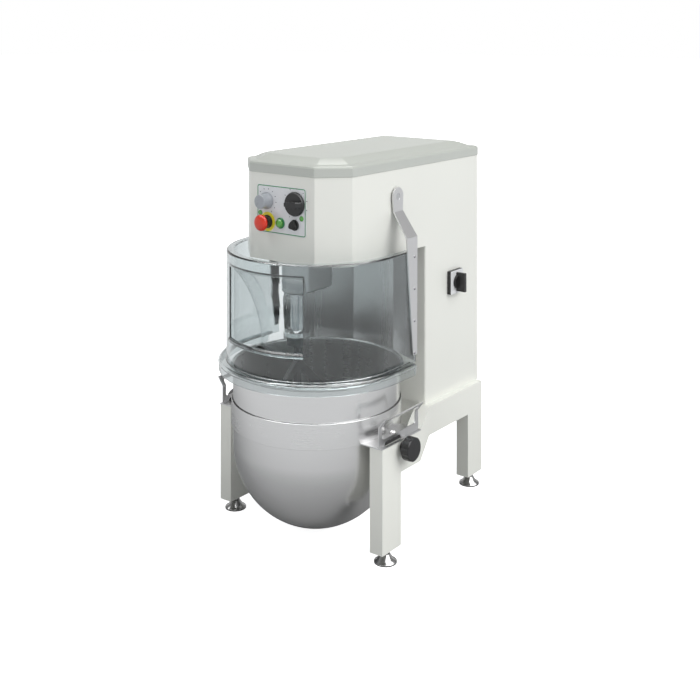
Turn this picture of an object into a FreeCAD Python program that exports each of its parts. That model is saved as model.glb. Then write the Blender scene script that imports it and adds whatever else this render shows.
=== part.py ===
"""Planetary stand mixer with a fixed bowl, a swing-up clear guard and a welded stand.

Frame: +X to the machine's right as seen from the front, +Y to the back, +Z up, millimetres.
The pieces are drawn about the bowl's axis, with the floor at z = 0, and moved along Y at the
end, so that the origin is the middle of the machine's footprint on the floor.
"""
import FreeCAD, Part
import math
import os

Vec = FreeCAD.Vector
X_AXIS = Vec(1, 0, 0)
Y_AXIS = Vec(0, 1, 0)
Z_AXIS = Vec(0, 0, 1)
AXIS_POINT = Vec(0, 0, 0)
SIDES = {"left": -1, "right": 1}

# ---------------------------------------------------------------- housing
HEAD_WIDTH = 344.0          # head and column, side to side
HEAD_FRONT = 138.0          # head's front face ahead of the bowl axis
CHAMFER_ACROSS = 67.0       # front corner chamfer, measured along X
CHAMFER_BACK = 65.0         # and along Y
COLUMN_GAP = 33.0           # bowl to the column's front face
BODY_REAR = 520.0           # rear face behind the bowl axis
HEAD_BOTTOM = 708.0
BODY_TOP = 926.0
SHEET = 3.0                 # housing sheet
BEND_RADIUS = 5.0           # outside radius of the housing's upright corners

# ---------------------------------------------------------------- lid
LID_OVERHANG = 2.0
LID_BAND = 27.0             # height of the lid's upright band
LID_SHOULDER = 14.0         # width of the flat shoulder inside the band
LID_BEVEL = 34.0            # width of the slope up to the raised centre
LID_RISE = 13.0             # height of the raised centre above the shoulder
LID_WALL = 4.0
LID_ROUND = 6.0

# ---------------------------------------------------------------- stand
STAND_TOP = 285.0
BEAM_HEIGHT = 76.0
TUBE_WIDTH = 38.0           # legs and beams, across
TUBE_WALL = 3.0
BEAM_GAP = 9.5              # bowl's band to the side beams
REAR_LEG_OUTSET = 18.0      # rear legs outside the column's sides
FRONT_LEG_FRONT = -80.0
FRONT_LEG_DEPTH = 78.0
REAR_LEG_DEPTH = 75.0
REAR_LEG_SETBACK = 9.0      # rear legs' back face ahead of the housing's rear face
BEAM_STRAIGHT_END = 83.0    # where the beams turn inward
BEAM_DIAGONAL_AHEAD = 8.0   # where they run straight back, ahead of the column
LEG_BOTTOM = 32.0
CROSS_BEAM_DEPTH = 40.0

# ---------------------------------------------------------------- levelling feet
FOOT_RADIUS = 28.0
FOOT_RIM = 4.0
FOOT_NECK_RADIUS = 11.0
FOOT_NECK_Z = 22.0
STEM_RADIUS = 6.0
STEM_TOP = 58.0
NUT_FLATS = 19.0
NUT_HEIGHT = 8.0
THREAD_CLEARANCE = 0.05

# ---------------------------------------------------------------- bowl
BOWL_RADIUS = 215.0         # outside
BOWL_WALL = 2.0
BOWL_FLOOR_GAP = 17.0       # bowl's lowest point above the floor
BOWL_RIM_Z = 432.0
RIM_BEAD = 5.0              # radius of the rolled rim
RIM_SIDES = 12
BAND_GAP = 2.0              # space between the bowl and its wrap band
BAND_SHEET = 2.0
BAND_TOP = 344.0
BAND_DROP = 3.0             # band's lower edge below the stand top
BAND_FOOT = 4.0             # height of the band's inturned lower edge

# ---------------------------------------------------------------- bowl brackets
BRACKET_SHEET = 3.0
BRACKET_INSET = 8.5         # upright plate inboard of the stand's outer face
BRACKET_FRONT = -82.0
TRAY_LAP = 29.0             # tray's plan inside the band, before the band is cut out of it
BRACKET_REAR = 85.0
BRACKET_BEND_Z = 335.0      # where the upright plate leans outward
HANDLE_TOP_Z = 357.0
HANDLE_LEAN = 17.0          # how far the handle's top stands out
WINDOW_STRIP = 20.0         # height of the strip below the handle window
WINDOW_POST = 12.0          # width of the posts beside it
HANDLE_BAR = 7.0            # height of the bar above the window
WINDOW_ROUND = 8.0
ARCH_FRONT = -59.0
ARCH_REAR = 10.0
ARCH_HEIGHT = 12.0
STUD_INSET = 29.5           # stud's axis inboard of the beam's outer face
STUD_Y = 6.0
STUD_RADIUS = 8.0
STUD_DOME_RADIUS = 9.0
STUD_RISE = 9.0             # dome's springing line above the bracket tray
STUD_HOLE_CLEARANCE = 1.0
LIP_GAP = 0.3               # forked lip to beam and to clamp collar
LIP_FRONT = -18.0
LIP_REAR = 30.0
LIP_DROP = 34.0             # forked lip's depth below the stand top
LIP_SLOT_CLEARANCE = 2.0    # forked lip's slot to the clamp stud

# ---------------------------------------------------------------- clamp knobs
KNOB_Y = 5.0
KNOB_DROP = 16.0            # knob axis below the stand top
KNOB_RADIUS = 29.0
KNOB_HUB_RADIUS = 14.0
KNOB_HUB_LENGTH = 12.0
KNOB_THICKNESS = 22.0
KNOB_LOBES = 8
KNOB_SCALLOP_RADIUS = 12.0
KNOB_SCALLOP_DEPTH = 1.8
KNOB_GAP = 0.5              # hub to beam
CLAMP_STUD_RADIUS = 5.0
CLAMP_COLLAR_RADIUS = 9.0
CLAMP_COLLAR = 4.0

# ---------------------------------------------------------------- planetary drive
MODULE = 4.0
RING_TEETH = 57
PINION_TEETH = 19
PRESSURE_ANGLE = math.radians(20.0)
BACKLASH = 0.2              # taken off each flank pair
TIP_CLEARANCE = 1.0
RING_BODY = 13.0            # ring's wall behind its teeth
RING_BOTTOM = 720.0
RING_WIDTH = 28.0
PINION_INSET = 2.0          # pinion's faces inside the ring's
ARM_RADIUS = 40.0           # planet arm, in plan
ARM_BOTTOM = 624.0
ARM_CHAMFER = 5.0
CARRIER_TOP = 712.0
CARRIER_DISC = 12.0
CARRIER_DISC_RADIUS = 120.0
CARRIER_GAP = 2.5           # disc to the edge of the head's opening
HUB_RADIUS = 30.0
HUB_RISE = 6.0
MAIN_SHAFT_RADIUS = 20.0
MAIN_BEARING_RADIUS = 40.0
MAIN_BEARING_WIDTH = 18.0
RUNNING_CLEARANCE = 0.05
FIT_CLEARANCE = 0.02
PLATE_THICKNESS = 12.0      # bearing plate
PLATE_FRONT = -100.0
PLATE_REAR = 190.0
HOUSING_FLANGE_RADIUS = 78.0
HOUSING_FLANGE = 10.0
HOUSING_RADIUS = 50.0
HOUSING_HEIGHT = 92.0
HOUSING_RIB = 8.0
SHAFT_RELIEF = 3.0          # shaft to housing between the bearings

# ---------------------------------------------------------------- tool
TOOL_SHAFT_RADIUS = 18.0
TOOL_SHAFT_TOP_RADIUS = 14.0
TOOL_BEARING_RADIUS = 30.0
TOOL_BEARING_WIDTH = 15.0
COLLAR_RADIUS = 33.0
COLLAR_TOP = 530.0
COLLAR_BOTTOM = 513.0
COLLAR_GROOVES = 24
COLLAR_GROOVE = 0.7         # grip grooves' depth
COLLAR_GROOVE_ANGLE = 5.2   # and their width, in degrees
COLLAR_SKIRT_GAP = 1.5      # collar to beater hub, along the axis
BEATER_HUB_RADIUS = 27.0
BEATER_HUB_BOTTOM = 491.0
TOOL_SPIGOT_RADIUS = 15.0
DRIVE_PIN_RADIUS = 4.0
DRIVE_PIN_RISE = 12.0       # pin above the hub's lower face
BEATER_THICKNESS = 12.0
BEATER_BAR = 15.0
BEATER_STEM = 15.0
BEATER_CLEARANCE = 13.0     # beater to bowl as it sweeps
BEATER_SHOULDER_Z = 345.0
BEATER_FORK_Z = 453.0
BEATER_NECK_RADIUS = 10.0
BEATER_NECK_LAP = 6.0       # neck let into the top of the frame
BEATER_WALL = 3.0           # hub's floor under the spigot
BEATER_TIP = 18.0           # half-width of the beater's flat bottom
BEATER_RIBS = 3
RIB_START = 10.0            # first rib's top below the shoulder, at the stem
RIB_PITCH = 82.0
RIB_SLOPE = 0.59            # fall for each millimetre outward

# ---------------------------------------------------------------- belt drive
MAIN_PULLEY_RADIUS = 120.0
MOTOR_PULLEY_RADIUS = 40.0
PULLEY_BOTTOM = 879.0
BELT_WIDTH = 18.0
BELT_THICKNESS = 5.0
BELT_GAP = 0.3              # belt to the pulley face
PULLEY_FLANGE = 3.0
FLANGE_RISE = 6.0
PULLEY_RIM = 7.0
PULLEY_WEB = 8.0
PULLEY_SPOKE_HOLES = 6
MOTOR_RADIUS = 68.0
MOTOR_BOTTOM = 640.0
MOTOR_FLANGE_RADIUS = 78.0
MOTOR_FLANGE = 10.0
MOTOR_SHAFT_RADIUS = 12.0
MOTOR_PLATE_Z = 858.0       # underside of the motor plate
MOTOR_PLATE = 8.0
MOTOR_FINS = 16
MOTOR_FIN_DEPTH = 6.0
MOTOR_COWL = 30.0           # fan cowl's height
TERMINAL_WIDTH = 60.0       # terminal box
TERMINAL_DEPTH = 26.0
TERMINAL_HEIGHT = 70.0

# ---------------------------------------------------------------- guard
GUARD_OVER_BOWL = 17.0      # clear wall outside the bowl
HEAD_TO_GUARD = 25.0        # head's corners to the guard's top flange, at least
GUARD_WALL = 4.0
GUARD_TOP = 726.0
GUARD_FLANGE = 20.0         # inward flange at the top
GUARD_BACK = 113.0          # rear edge of the side walls
SHOULDER_Z = 448.0          # top of the shoulder over the bowl's rim
SHOULDER_ROUND = 8.0
SHOULDER_COVE = 2.5
SHOULDER_WIDTH = 21.0       # bead outside the clear wall
SKIRT_STEP = 2.0            # skirt inside the bead
SKIRT_STEP_DROP = 3.0
SKIRT_BOTTOM = 420.0
SKIRT_REAR = 86.0
TOP_ROUND = 5.0

CHUTE_HALF_ANGLE = 31.0     # degrees each side of the front
CHUTE_TOP = 693.0
CHUTE_SILL = 510.0
CHUTE_DEPTH = 84.0          # baffle's lower edge inside the clear wall
CHUTE_BOTTOM = 484.0
CHUTE_CURVE = 320.0         # radius of the baffle's curve
CHUTE_WALL = 3.0
LIP_RADIUS = 6.5            # rolled lip of the filling opening

# ---------------------------------------------------------------- guard arms
PIVOT_Y = 110.0
PIVOT_Z = 858.0
ARM_SHEET = 4.0
ARM_STANDOFF = 4.0          # arm to the head's side
ARM_END_RADIUS = 23.0
ARM_BEND_TOP_Z = 820.0
ARM_BEND_LOW_Z = 762.0
ARM_FOOT_Z = 464.0
ARM_UPPER_FRONT = 91.0
ARM_UPPER_REAR = 131.0
ARM_ELBOW_FRONT = 68.0
ARM_ELBOW_REAR = 115.0
ARM_FOOT_FRONT = 95.0
ARM_FOOT_REAR = 113.0
RIVET_Y = 102.0
RIVET_TOP_Z = 712.0
RIVET_PITCH = 81.0
RIVET_COUNT = 4
RIVET_RADIUS = 2.5
RIVET_HEAD_RADIUS = 4.0
RIVET_HEAD = 1.6
PIVOT_SHAFT_RADIUS = 9.0
BUSH_RADIUS = 14.0
BUSH_FLANGE_RADIUS = 18.0
BUSH_LENGTH = 16.0
SHAFT_NUT_FLATS = 22.0
SHAFT_NUT = 6.0

# ---------------------------------------------------------------- splash shield
SHIELD_SHEET = 2.0
SHIELD_CENTRE = 67.0        # half-width of the flat middle
SHIELD_KNEE_AHEAD = 48.0    # second fold ahead of the column
SHIELD_END_INSET = 11.0     # free edges inside the guard's clear wall
SHIELD_END_GAP = 10.0       # and behind its rear edge
SHIELD_BOTTOM = 412.0
SHIELD_SCREW_Z = (471.0, 660.0)

# ---------------------------------------------------------------- control panel
PANEL_WIDTH = 160.0
PANEL_BOTTOM = 777.0
PANEL_TOP = 897.0
PANEL_SHEET = 1.6
PANEL_ROUND = 7.0
UPPER_ROW_Z = 857.0
LOWER_ROW_Z = 805.0
SPEED_X = -47.0
TIMER_X = 46.0
ESTOP_X = -44.0
START_X = -2.0
JOG_X = 44.0
LAMPS = ((-69.0, 825.0), (66.0, 823.0))
SPINDLE_RADIUS = 3.0
SPEED_KNOB_RADIUS = 21.0
SPEED_CAP_RADIUS = 17.5
SPEED_KNOB_LENGTH = 29.0
SPEED_POINTER = 135.0       # degrees from upright, towards the lower left
TIMER_KNOB_RADIUS = 30.0
TIMER_DISC = 9.0
TIMER_GRIP = 14.0
ESTOP_RADIUS = 20.5
ESTOP_DISC_RADIUS = 24.0
ESTOP_DISC = 1.5
ESTOP_COLLAR_RADIUS = 14.5
ESTOP_COLLAR = 13.0
ESTOP_HEAD = 15.0
ESTOP_TRAVEL = 5.0
BUTTON_RADIUS = 11.0
BUTTON_BEZEL_RADIUS = 13.5
BUTTON_TRAVEL = 3.0
BEZEL_HEIGHT = 3.4
BEZEL_FLOOR = 0.8
PRESS_GAP = 0.3             # left under a button at the end of its travel
JOG_HEAD = 6.5
PLUNGER_RADIUS = 8.0
PLUNGER_CLEARANCE = 1.0     # plungers and spindles to the holes behind them
KNOB_STANDOFF = 0.5         # knob skirts to the panel
LAMP_RADIUS = 5.5
BLOCK_DEPTH = 42.0          # contact blocks behind the panel
POT_HALF = 14.0             # half-widths of the speed, timer and contact blocks
TIMER_HALF = 20.0
CONTACT_HALF = 15.0

# ---------------------------------------------------------------- main switch
SWITCH_Y = 388.0
SWITCH_Z = 589.0
SWITCH_PLATE = 64.0
SWITCH_BASE = 12.0
SWITCH_HUB_RADIUS = 19.0
SWITCH_BORE = 13.0          # through the plate and the column for the spindle
SWITCH_SPINDLE = 11.0
SWITCH_HUB = 6.0
SWITCH_BAR_LENGTH = 52.0
SWITCH_BAR_WIDTH = 10.0
SWITCH_BAR_HEIGHT = 21.0
SWITCH_BODY = 46.0

# ---------------------------------------------------------------- rear cover, electrics
COVER_INSET = 22.0          # cover's sides inboard of the column's
COVER_BOTTOM = 334.0
COVER_TOP = 906.0
COVER_SHEET = 2.0
COVER_LAP = 14.0            # cover beyond the edge of the rear opening
LOUVRE_ROWS = 6
LOUVRE_PITCH = 18.0
LOUVRE_LENGTH = 84.0
LOUVRE_HOOD = 5.0
LOUVRE_HEIGHT = 9.0
LOUVRE_BANDS = (400.0, 760.0)
SCREW_RADIUS = 2.5
SCREW_HEAD_RADIUS = 4.6
SCREW_HEAD = 2.6
GLAND_X = 112.0
GLAND_Z = 309.0
GLAND_FLATS = 24.0
GLAND_LENGTH = 22.0
GLAND_BORE = 5.0
INVERTER_WIDTH = 130.0
INVERTER_DEPTH = 58.0
INVERTER_BOTTOM = 390.0
INVERTER_HEIGHT = 170.0
INVERTER_FINS = 9

# ---------------------------------------------------------------- worked out
HALF_WIDTH = HEAD_WIDTH / 2
COLUMN_FRONT = BOWL_RADIUS + COLUMN_GAP
BAND_RADIUS = BOWL_RADIUS + BAND_GAP + BAND_SHEET
BAND_BOTTOM = STAND_TOP - BAND_DROP
BEAM_BOTTOM = STAND_TOP - BEAM_HEIGHT
BEAM_DIAGONAL_END = COLUMN_FRONT - BEAM_DIAGONAL_AHEAD
STAND_X = BAND_RADIUS + BEAM_GAP + TUBE_WIDTH
STUD_X = STAND_X - STUD_INSET
REAR_X = HALF_WIDTH + REAR_LEG_OUTSET
COVER_HALF_WIDTH = HALF_WIDTH - COVER_INSET
HEAD_REACH = math.hypot(HALF_WIDTH, HEAD_FRONT - CHAMFER_BACK)
GUARD_RADIUS = max(BOWL_RADIUS + GUARD_OVER_BOWL, HEAD_REACH + HEAD_TO_GUARD + GUARD_FLANGE)
SKIRT_RADIUS = GUARD_RADIUS + SHOULDER_WIDTH
CHUTE_THROAT = GUARD_RADIUS - CHUTE_DEPTH
SHIELD_END_Y = GUARD_BACK + SHIELD_END_GAP
FRONT_LEG_REAR = FRONT_LEG_FRONT + FRONT_LEG_DEPTH
REAR_LEG_REAR = BODY_REAR - REAR_LEG_SETBACK
REAR_LEG_FRONT = REAR_LEG_REAR - REAR_LEG_DEPTH
PLANET_RADIUS = MODULE * (RING_TEETH - PINION_TEETH) / 2
RING_PITCH = MODULE * RING_TEETH / 2
PINION_PITCH = MODULE * PINION_TEETH / 2
RING_TOP = RING_BOTTOM + RING_WIDTH
PLATE_TOP = RING_TOP + PLATE_THICKNESS
HEAD_OPENING = CARRIER_DISC_RADIUS + CARRIER_GAP
BOWL_CENTRE_Z = BOWL_FLOOR_GAP + BOWL_RADIUS
BOWL_INSIDE = BOWL_RADIUS - BOWL_WALL
MOTOR_Y = (COLUMN_FRONT + BODY_REAR) / 2
BELT_BOTTOM = PULLEY_BOTTOM + PULLEY_FLANGE
PULLEY_TOP = BELT_BOTTOM + BELT_WIDTH + PULLEY_FLANGE
ARM_INNER_X = HALF_WIDTH + ARM_STANDOFF
PANEL_FACE = -HEAD_FRONT - PANEL_SHEET
KNOB_Z = STAND_TOP - KNOB_DROP
REAR_REACH = BODY_REAR + GLAND_LENGTH
AXIS_Y = (SKIRT_RADIUS - REAR_REACH) / 2    # bowl axis ahead of the footprint's middle


# ================================================================ drawing helpers
def box(x0, x1, y0, y1, z0, z1):
    """Return the block between two corners."""
    return Part.makeBox(x1 - x0, y1 - y0, z1 - z0, Vec(x0, y0, z0))


def rod(radius, z0, z1, x=0.0, y=0.0):
    """Return an upright cylinder."""
    return Part.makeCylinder(radius, z1 - z0, Vec(x, y, z0), Z_AXIS)


def ring(outer, inner, z0, z1, x=0.0, y=0.0):
    """Return an upright tube."""
    return rod(outer, z0, z1, x, y).cut(rod(inner, z0 - 1, z1 + 1, x, y))


def rod_x(radius, x0, x1, y, z):
    """Return a cylinder lying along X."""
    return Part.makeCylinder(radius, x1 - x0, Vec(x0, y, z), X_AXIS)


def rod_y(radius, y0, y1, x, z):
    """Return a cylinder lying along Y."""
    return Part.makeCylinder(radius, y1 - y0, Vec(x, y0, z), Y_AXIS)


def polygon(points):
    """Return the closed wire through 3-D points."""
    return Part.makePolygon(list(points) + [points[0]])


def prism(points, z0, z1):
    """Extrude a plan outline, given as (x, y) points, upward."""
    face = Part.Face(polygon([Vec(x, y, z0) for x, y in points]))
    return face.extrude(Vec(0, 0, z1 - z0))


def profile_y(points, y0, y1):
    """Extrude an outline of (x, z) points along Y."""
    face = Part.Face(polygon([Vec(x, y0, z) for x, z in points]))
    return face.extrude(Vec(0, y1 - y0, 0))


def profile_x(points, x0, x1):
    """Extrude an outline of (y, z) points along X."""
    face = Part.Face(polygon([Vec(x0, y, z) for y, z in points]))
    return face.extrude(Vec(x1 - x0, 0, 0))


def fuse(shapes):
    """Join solids into one and merge the faces that they share."""
    return shapes[0].fuse(shapes[1:]).removeSplitter()


def mirror_x(shape):
    """Return the copy on the machine's other side."""
    return shape.mirror(AXIS_POINT, X_AXIS)


def on_side(shape, side):
    """Return a shape drawn for +X, or its mirror image for the left side."""
    return shape if side > 0 else mirror_x(shape)


def rounded_wire(points, radii, z):
    """Join (x, y) points by lines, with a tangent arc of its own radius at each corner."""
    count = len(points)
    corners = [Vec(x, y, z) for x, y in points]
    edges = []
    starts, ends, mids = [], [], []
    for i, corner in enumerate(corners):
        back = (corners[i - 1] - corner).normalize()
        ahead = (corners[(i + 1) % count] - corner).normalize()
        half = back.getAngle(ahead) / 2
        reach = radii[i] / math.tan(half)
        inward = (back + ahead).normalize()
        centre = corner + inward * (radii[i] / math.sin(half))
        starts.append(corner + back * reach)
        ends.append(corner + ahead * reach)
        mids.append(centre - inward * radii[i])
    for i in range(count):
        edges.append(Part.Arc(starts[i], mids[i], ends[i]).toShape())
        edges.append(Part.LineSegment(ends[i], starts[(i + 1) % count]).toShape())
    return Part.Wire(edges)


def inset(points, distance):
    """Move each side of a convex anticlockwise outline inward by a distance."""
    moved = []
    count = len(points)
    for i in range(count):
        (ax, ay), (bx, by), (cx, cy) = points[i - 1], points[i], points[(i + 1) % count]
        e1 = Vec(bx - ax, by - ay, 0).normalize()
        e2 = Vec(cx - bx, cy - by, 0).normalize()
        n1 = Vec(-e1.y, e1.x, 0)
        n2 = Vec(-e2.y, e2.x, 0)
        shift = (n1 + n2) * (distance / (1 + n1.dot(n2)))
        moved.append((bx + shift.x, by + shift.y))
    return moved


def hexagon(flats, z0, z1, x=0.0, y=0.0):
    """Return an upright hexagonal bar, by its size across flats."""
    reach = flats / math.sqrt(3)
    angles = [math.radians(30 + 60 * i) for i in range(6)]
    return prism([(x + reach * math.cos(a), y + reach * math.sin(a)) for a in angles], z0, z1)


def turned(shape, axis, angle, point=AXIS_POINT):
    """Return a copy turned about an axis through a point, in degrees."""
    copy = shape.copy()
    copy.rotate(point, axis, angle)
    return copy


def along_y(shape, x, y, z):
    """Stand a shape drawn about +Z on the plane at y, facing the front, centred on (x, z)."""
    copy = turned(shape, X_AXIS, 90)
    copy.translate(Vec(x, y, z))
    return copy


def along_x(shape, x, y, z):
    """Lay a shape drawn about +Z on the plane at x, facing +X, centred on (y, z)."""
    copy = turned(shape, Y_AXIS, 90)
    copy.translate(Vec(x, y, z))
    return copy


def revolve(points, angle=360.0):
    """Turn a closed outline of (radius, z) points about the Z axis."""
    face = Part.Face(polygon([Vec(r, 0, z) for r, z in points]))
    return face.revolve(AXIS_POINT, Z_AXIS, angle)


# ================================================================ housing
HEAD_PLAN = [
    (-HALF_WIDTH, -HEAD_FRONT + CHAMFER_BACK),
    (-HALF_WIDTH + CHAMFER_ACROSS, -HEAD_FRONT),
    (HALF_WIDTH - CHAMFER_ACROSS, -HEAD_FRONT),
    (HALF_WIDTH, -HEAD_FRONT + CHAMFER_BACK),
    (HALF_WIDTH, BODY_REAR),
    (-HALF_WIDTH, BODY_REAR),
]
COLUMN_PLAN = [
    (-HALF_WIDTH, COLUMN_FRONT),
    (HALF_WIDTH, COLUMN_FRONT),
    (HALF_WIDTH, BODY_REAR),
    (-HALF_WIDTH, BODY_REAR),
]


def plan_solid(points, radius, z0, z1):
    """Extrude a plan with the same radius on every upright corner."""
    wire = rounded_wire(points, [radius] * len(points), z0)
    return Part.Face(wire).extrude(Vec(0, 0, z1 - z0))


def control_holes(y0, y1):
    """Return the drill-throughs for the controls and lamps on the front face."""
    places = [
        (SPEED_X, UPPER_ROW_Z, SPINDLE_RADIUS + PLUNGER_CLEARANCE),
        (TIMER_X, UPPER_ROW_Z, SPINDLE_RADIUS + PLUNGER_CLEARANCE),
        (ESTOP_X, LOWER_ROW_Z, PLUNGER_RADIUS + PLUNGER_CLEARANCE),
        (START_X, LOWER_ROW_Z, PLUNGER_RADIUS + PLUNGER_CLEARANCE),
        (JOG_X, LOWER_ROW_Z, PLUNGER_RADIUS + PLUNGER_CLEARANCE),
    ]
    places += [(x, z, LAMP_RADIUS + FIT_CLEARANCE) for x, z in LAMPS]
    return [rod_y(radius, y0, y1, x, z) for x, z, radius in places]


def cover_screw_places():
    """Return the (x, z) places of the rear cover's screws."""
    x = COVER_HALF_WIDTH - COVER_LAP / 2
    low = COVER_BOTTOM + COVER_LAP / 2
    high = COVER_TOP - COVER_LAP / 2
    heights = [low + (high - low) * i / 3 for i in range(4)]
    return [(side * x, z) for side in (-1, 1) for z in heights]


def housing_shell():
    """Sheet-steel head and column in one welded shell, open at the top and the back."""
    head = plan_solid(HEAD_PLAN, BEND_RADIUS, HEAD_BOTTOM, BODY_TOP)
    column = plan_solid(COLUMN_PLAN, BEND_RADIUS, STAND_TOP, HEAD_BOTTOM + BEND_RADIUS)
    inside_radius = BEND_RADIUS - SHEET
    head_room = plan_solid(inset(HEAD_PLAN, SHEET), inside_radius, HEAD_BOTTOM + SHEET, BODY_TOP + 1)
    column_room = plan_solid(inset(COLUMN_PLAN, SHEET), inside_radius, STAND_TOP + SHEET,
                             HEAD_BOTTOM + 2 * SHEET)
    shell = head.fuse(column).removeSplitter().cut(head_room.fuse(column_room))
    opening_half = COVER_HALF_WIDTH - COVER_LAP
    rear_opening = box(-opening_half, opening_half, BODY_REAR - 2 * SHEET, BODY_REAR + 1,
                       COVER_BOTTOM + COVER_LAP, COVER_TOP - COVER_LAP)
    holes = [rear_opening, rod(HEAD_OPENING, HEAD_BOTTOM - 1, HEAD_BOTTOM + SHEET + 1)]
    holes.append(rod_x(BUSH_RADIUS, -HALF_WIDTH - 1, HALF_WIDTH + 1, PIVOT_Y, PIVOT_Z))
    holes.append(rod_x(SWITCH_BORE, HALF_WIDTH - 2 * SHEET, HALF_WIDTH + 1, SWITCH_Y, SWITCH_Z))
    holes.append(rod_y(GLAND_FLATS / 3, BODY_REAR - 2 * SHEET, BODY_REAR + 1, GLAND_X, GLAND_Z))
    holes += control_holes(-HEAD_FRONT - 1, -HEAD_FRONT + 2 * SHEET)
    for x, z in cover_screw_places():
        holes.append(rod_y(SCREW_RADIUS, BODY_REAR - 2 * SHEET, BODY_REAR + 1, x, z))
    for z in SHIELD_SCREW_Z:
        holes.append(rod_y(SCREW_RADIUS, COLUMN_FRONT - 1, COLUMN_FRONT + 2 * SHEET, 0, z))
    return shell.cut(holes)


def lid_section(offset, z, radius):
    """Return the lid's plan at one height, offset outward from the housing's plan."""
    plan = inset(HEAD_PLAN, -offset)
    return rounded_wire(plan, [radius] * len(plan), z)


def lid_levels(shrink, drop):
    """Return the lid's sections from its lower edge to its raised centre."""
    edge = LID_OVERHANG - shrink
    band_top = BODY_TOP + LID_BAND - drop
    corner = BEND_RADIUS + edge
    quarter = LID_ROUND * (1 - math.cos(math.pi / 4))
    levels = [(edge, BODY_TOP, corner), (edge, band_top - LID_ROUND, corner)]
    levels.append((edge - quarter, band_top - quarter, corner))
    levels.append((edge - LID_ROUND, band_top, corner))
    shoulder = edge - LID_ROUND - LID_SHOULDER
    levels.append((shoulder, band_top + 2, corner))
    levels.append((shoulder - LID_BEVEL * 0.5, band_top + 2 + LID_RISE * 0.62, corner))
    levels.append((shoulder - LID_BEVEL, band_top + 2 + LID_RISE, corner))
    return levels


def top_lid():
    """Pressed lid with an upright band, rounded edge and raised flat centre."""
    outside = [lid_section(*level) for level in lid_levels(0, 0)]
    inside_levels = lid_levels(LID_WALL, LID_WALL)
    inside_levels[0] = (inside_levels[0][0], BODY_TOP - 1, inside_levels[0][2])
    inside = [lid_section(*level) for level in inside_levels]
    cover = Part.makeLoft(outside, True, True)
    return cover.cut(Part.makeLoft(inside, True, True))


def louvre_places():
    """Return the (x, z) centres of the rear cover's louvres."""
    across = LOUVRE_LENGTH / 2 + 10
    places = []
    for band in LOUVRE_BANDS:
        for row in range(LOUVRE_ROWS):
            places += [(side * across, band + row * LOUVRE_PITCH) for side in (-1, 1)]
    return places


def rear_cover():
    """Screwed-on rear panel with two banks of pressed louvres."""
    outline = [(-COVER_HALF_WIDTH, COVER_BOTTOM), (COVER_HALF_WIDTH, COVER_BOTTOM),
               (COVER_HALF_WIDTH, COVER_TOP), (-COVER_HALF_WIDTH, COVER_TOP)]
    panel = profile_y(outline, BODY_REAR, BODY_REAR + COVER_SHEET)
    back = BODY_REAR + COVER_SHEET
    hoods, slots = [], []
    for x, z in louvre_places():
        x0 = x - LOUVRE_LENGTH / 2
        hood = [(back, z), (back + LOUVRE_HOOD, z - LOUVRE_HEIGHT), (back, z - LOUVRE_HEIGHT)]
        hoods.append(profile_x(hood, x0, x0 + LOUVRE_LENGTH))
        top = z - 1.6
        low = z - LOUVRE_HEIGHT - 1
        slot = [(BODY_REAR - 1, top), (back, top), (back + LOUVRE_HOOD - 1.4, low), (BODY_REAR - 1, low)]
        slots.append(profile_x(slot, x0 + 1.5, x0 + LOUVRE_LENGTH - 1.5))
    holes = [rod_y(SCREW_RADIUS, BODY_REAR - 1, back + 1, x, z) for x, z in cover_screw_places()]
    return panel.fuse(hoods).removeSplitter().cut(slots + holes)


def pan_screw(length):
    """Return a screw drawn about +Z, its head's seat at z = 0."""
    head = Part.makeCone(SCREW_HEAD_RADIUS, SCREW_HEAD_RADIUS * 0.75, SCREW_HEAD)
    return head.fuse(rod(SCREW_RADIUS, -length, 0)).removeSplitter()


def cover_screws():
    """Screws of the rear cover and of the splash shield."""
    screws = []
    length = COVER_SHEET + SHEET + 4
    for x, z in cover_screw_places():
        screw = turned(pan_screw(length), X_AXIS, -90)
        screw.translate(Vec(x, BODY_REAR + COVER_SHEET, z))
        screws.append(screw)
    shield_face = COLUMN_FRONT - SHIELD_SHEET
    for z in SHIELD_SCREW_Z:
        screws.append(along_y(pan_screw(SHIELD_SHEET + SHEET), 0, shield_face, z))
    return Part.makeCompound(screws)


def splash_shield():
    """Fixed sheet behind the bowl, folded to follow its rim."""
    knee_y = COLUMN_FRONT - SHIELD_KNEE_AHEAD
    half = [(SHIELD_CENTRE, COLUMN_FRONT), (HALF_WIDTH, knee_y),
            (GUARD_RADIUS - SHIELD_END_INSET, SHIELD_END_Y)]
    wings = [(-x, y) for x, y in reversed(half)]
    rear = wings + half
    front = []
    for x, y in rear:
        reach = math.hypot(x, y)
        front.append((x * (1 - SHIELD_SHEET / reach), y - SHIELD_SHEET))
    sheet = prism(rear + front[::-1], SHIELD_BOTTOM, HEAD_BOTTOM - 0.5)
    return sheet.cut([rod_y(SCREW_RADIUS, knee_y, COLUMN_FRONT + 1, 0, z) for z in SHIELD_SCREW_Z])


def cable_gland():
    """Hexagonal inlet gland at the back, with its through bore."""
    seat = GLAND_LENGTH * 0.35
    body = hexagon(GLAND_FLATS, 0, seat)
    nose = revolve([(0, seat), (GLAND_FLATS * 0.46, seat), (GLAND_FLATS * 0.46, GLAND_LENGTH * 0.75),
                    (GLAND_FLATS * 0.3, GLAND_LENGTH), (0, GLAND_LENGTH)])
    tail = rod(GLAND_FLATS / 3 - THREAD_CLEARANCE, -SHEET - 6, 0)
    gland = fuse([body, nose, tail]).cut(rod(GLAND_BORE, -SHEET - 10, GLAND_LENGTH + 1))
    gland.rotate(AXIS_POINT, X_AXIS, -90)
    gland.translate(Vec(GLAND_X, BODY_REAR, GLAND_Z))
    return gland


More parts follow.
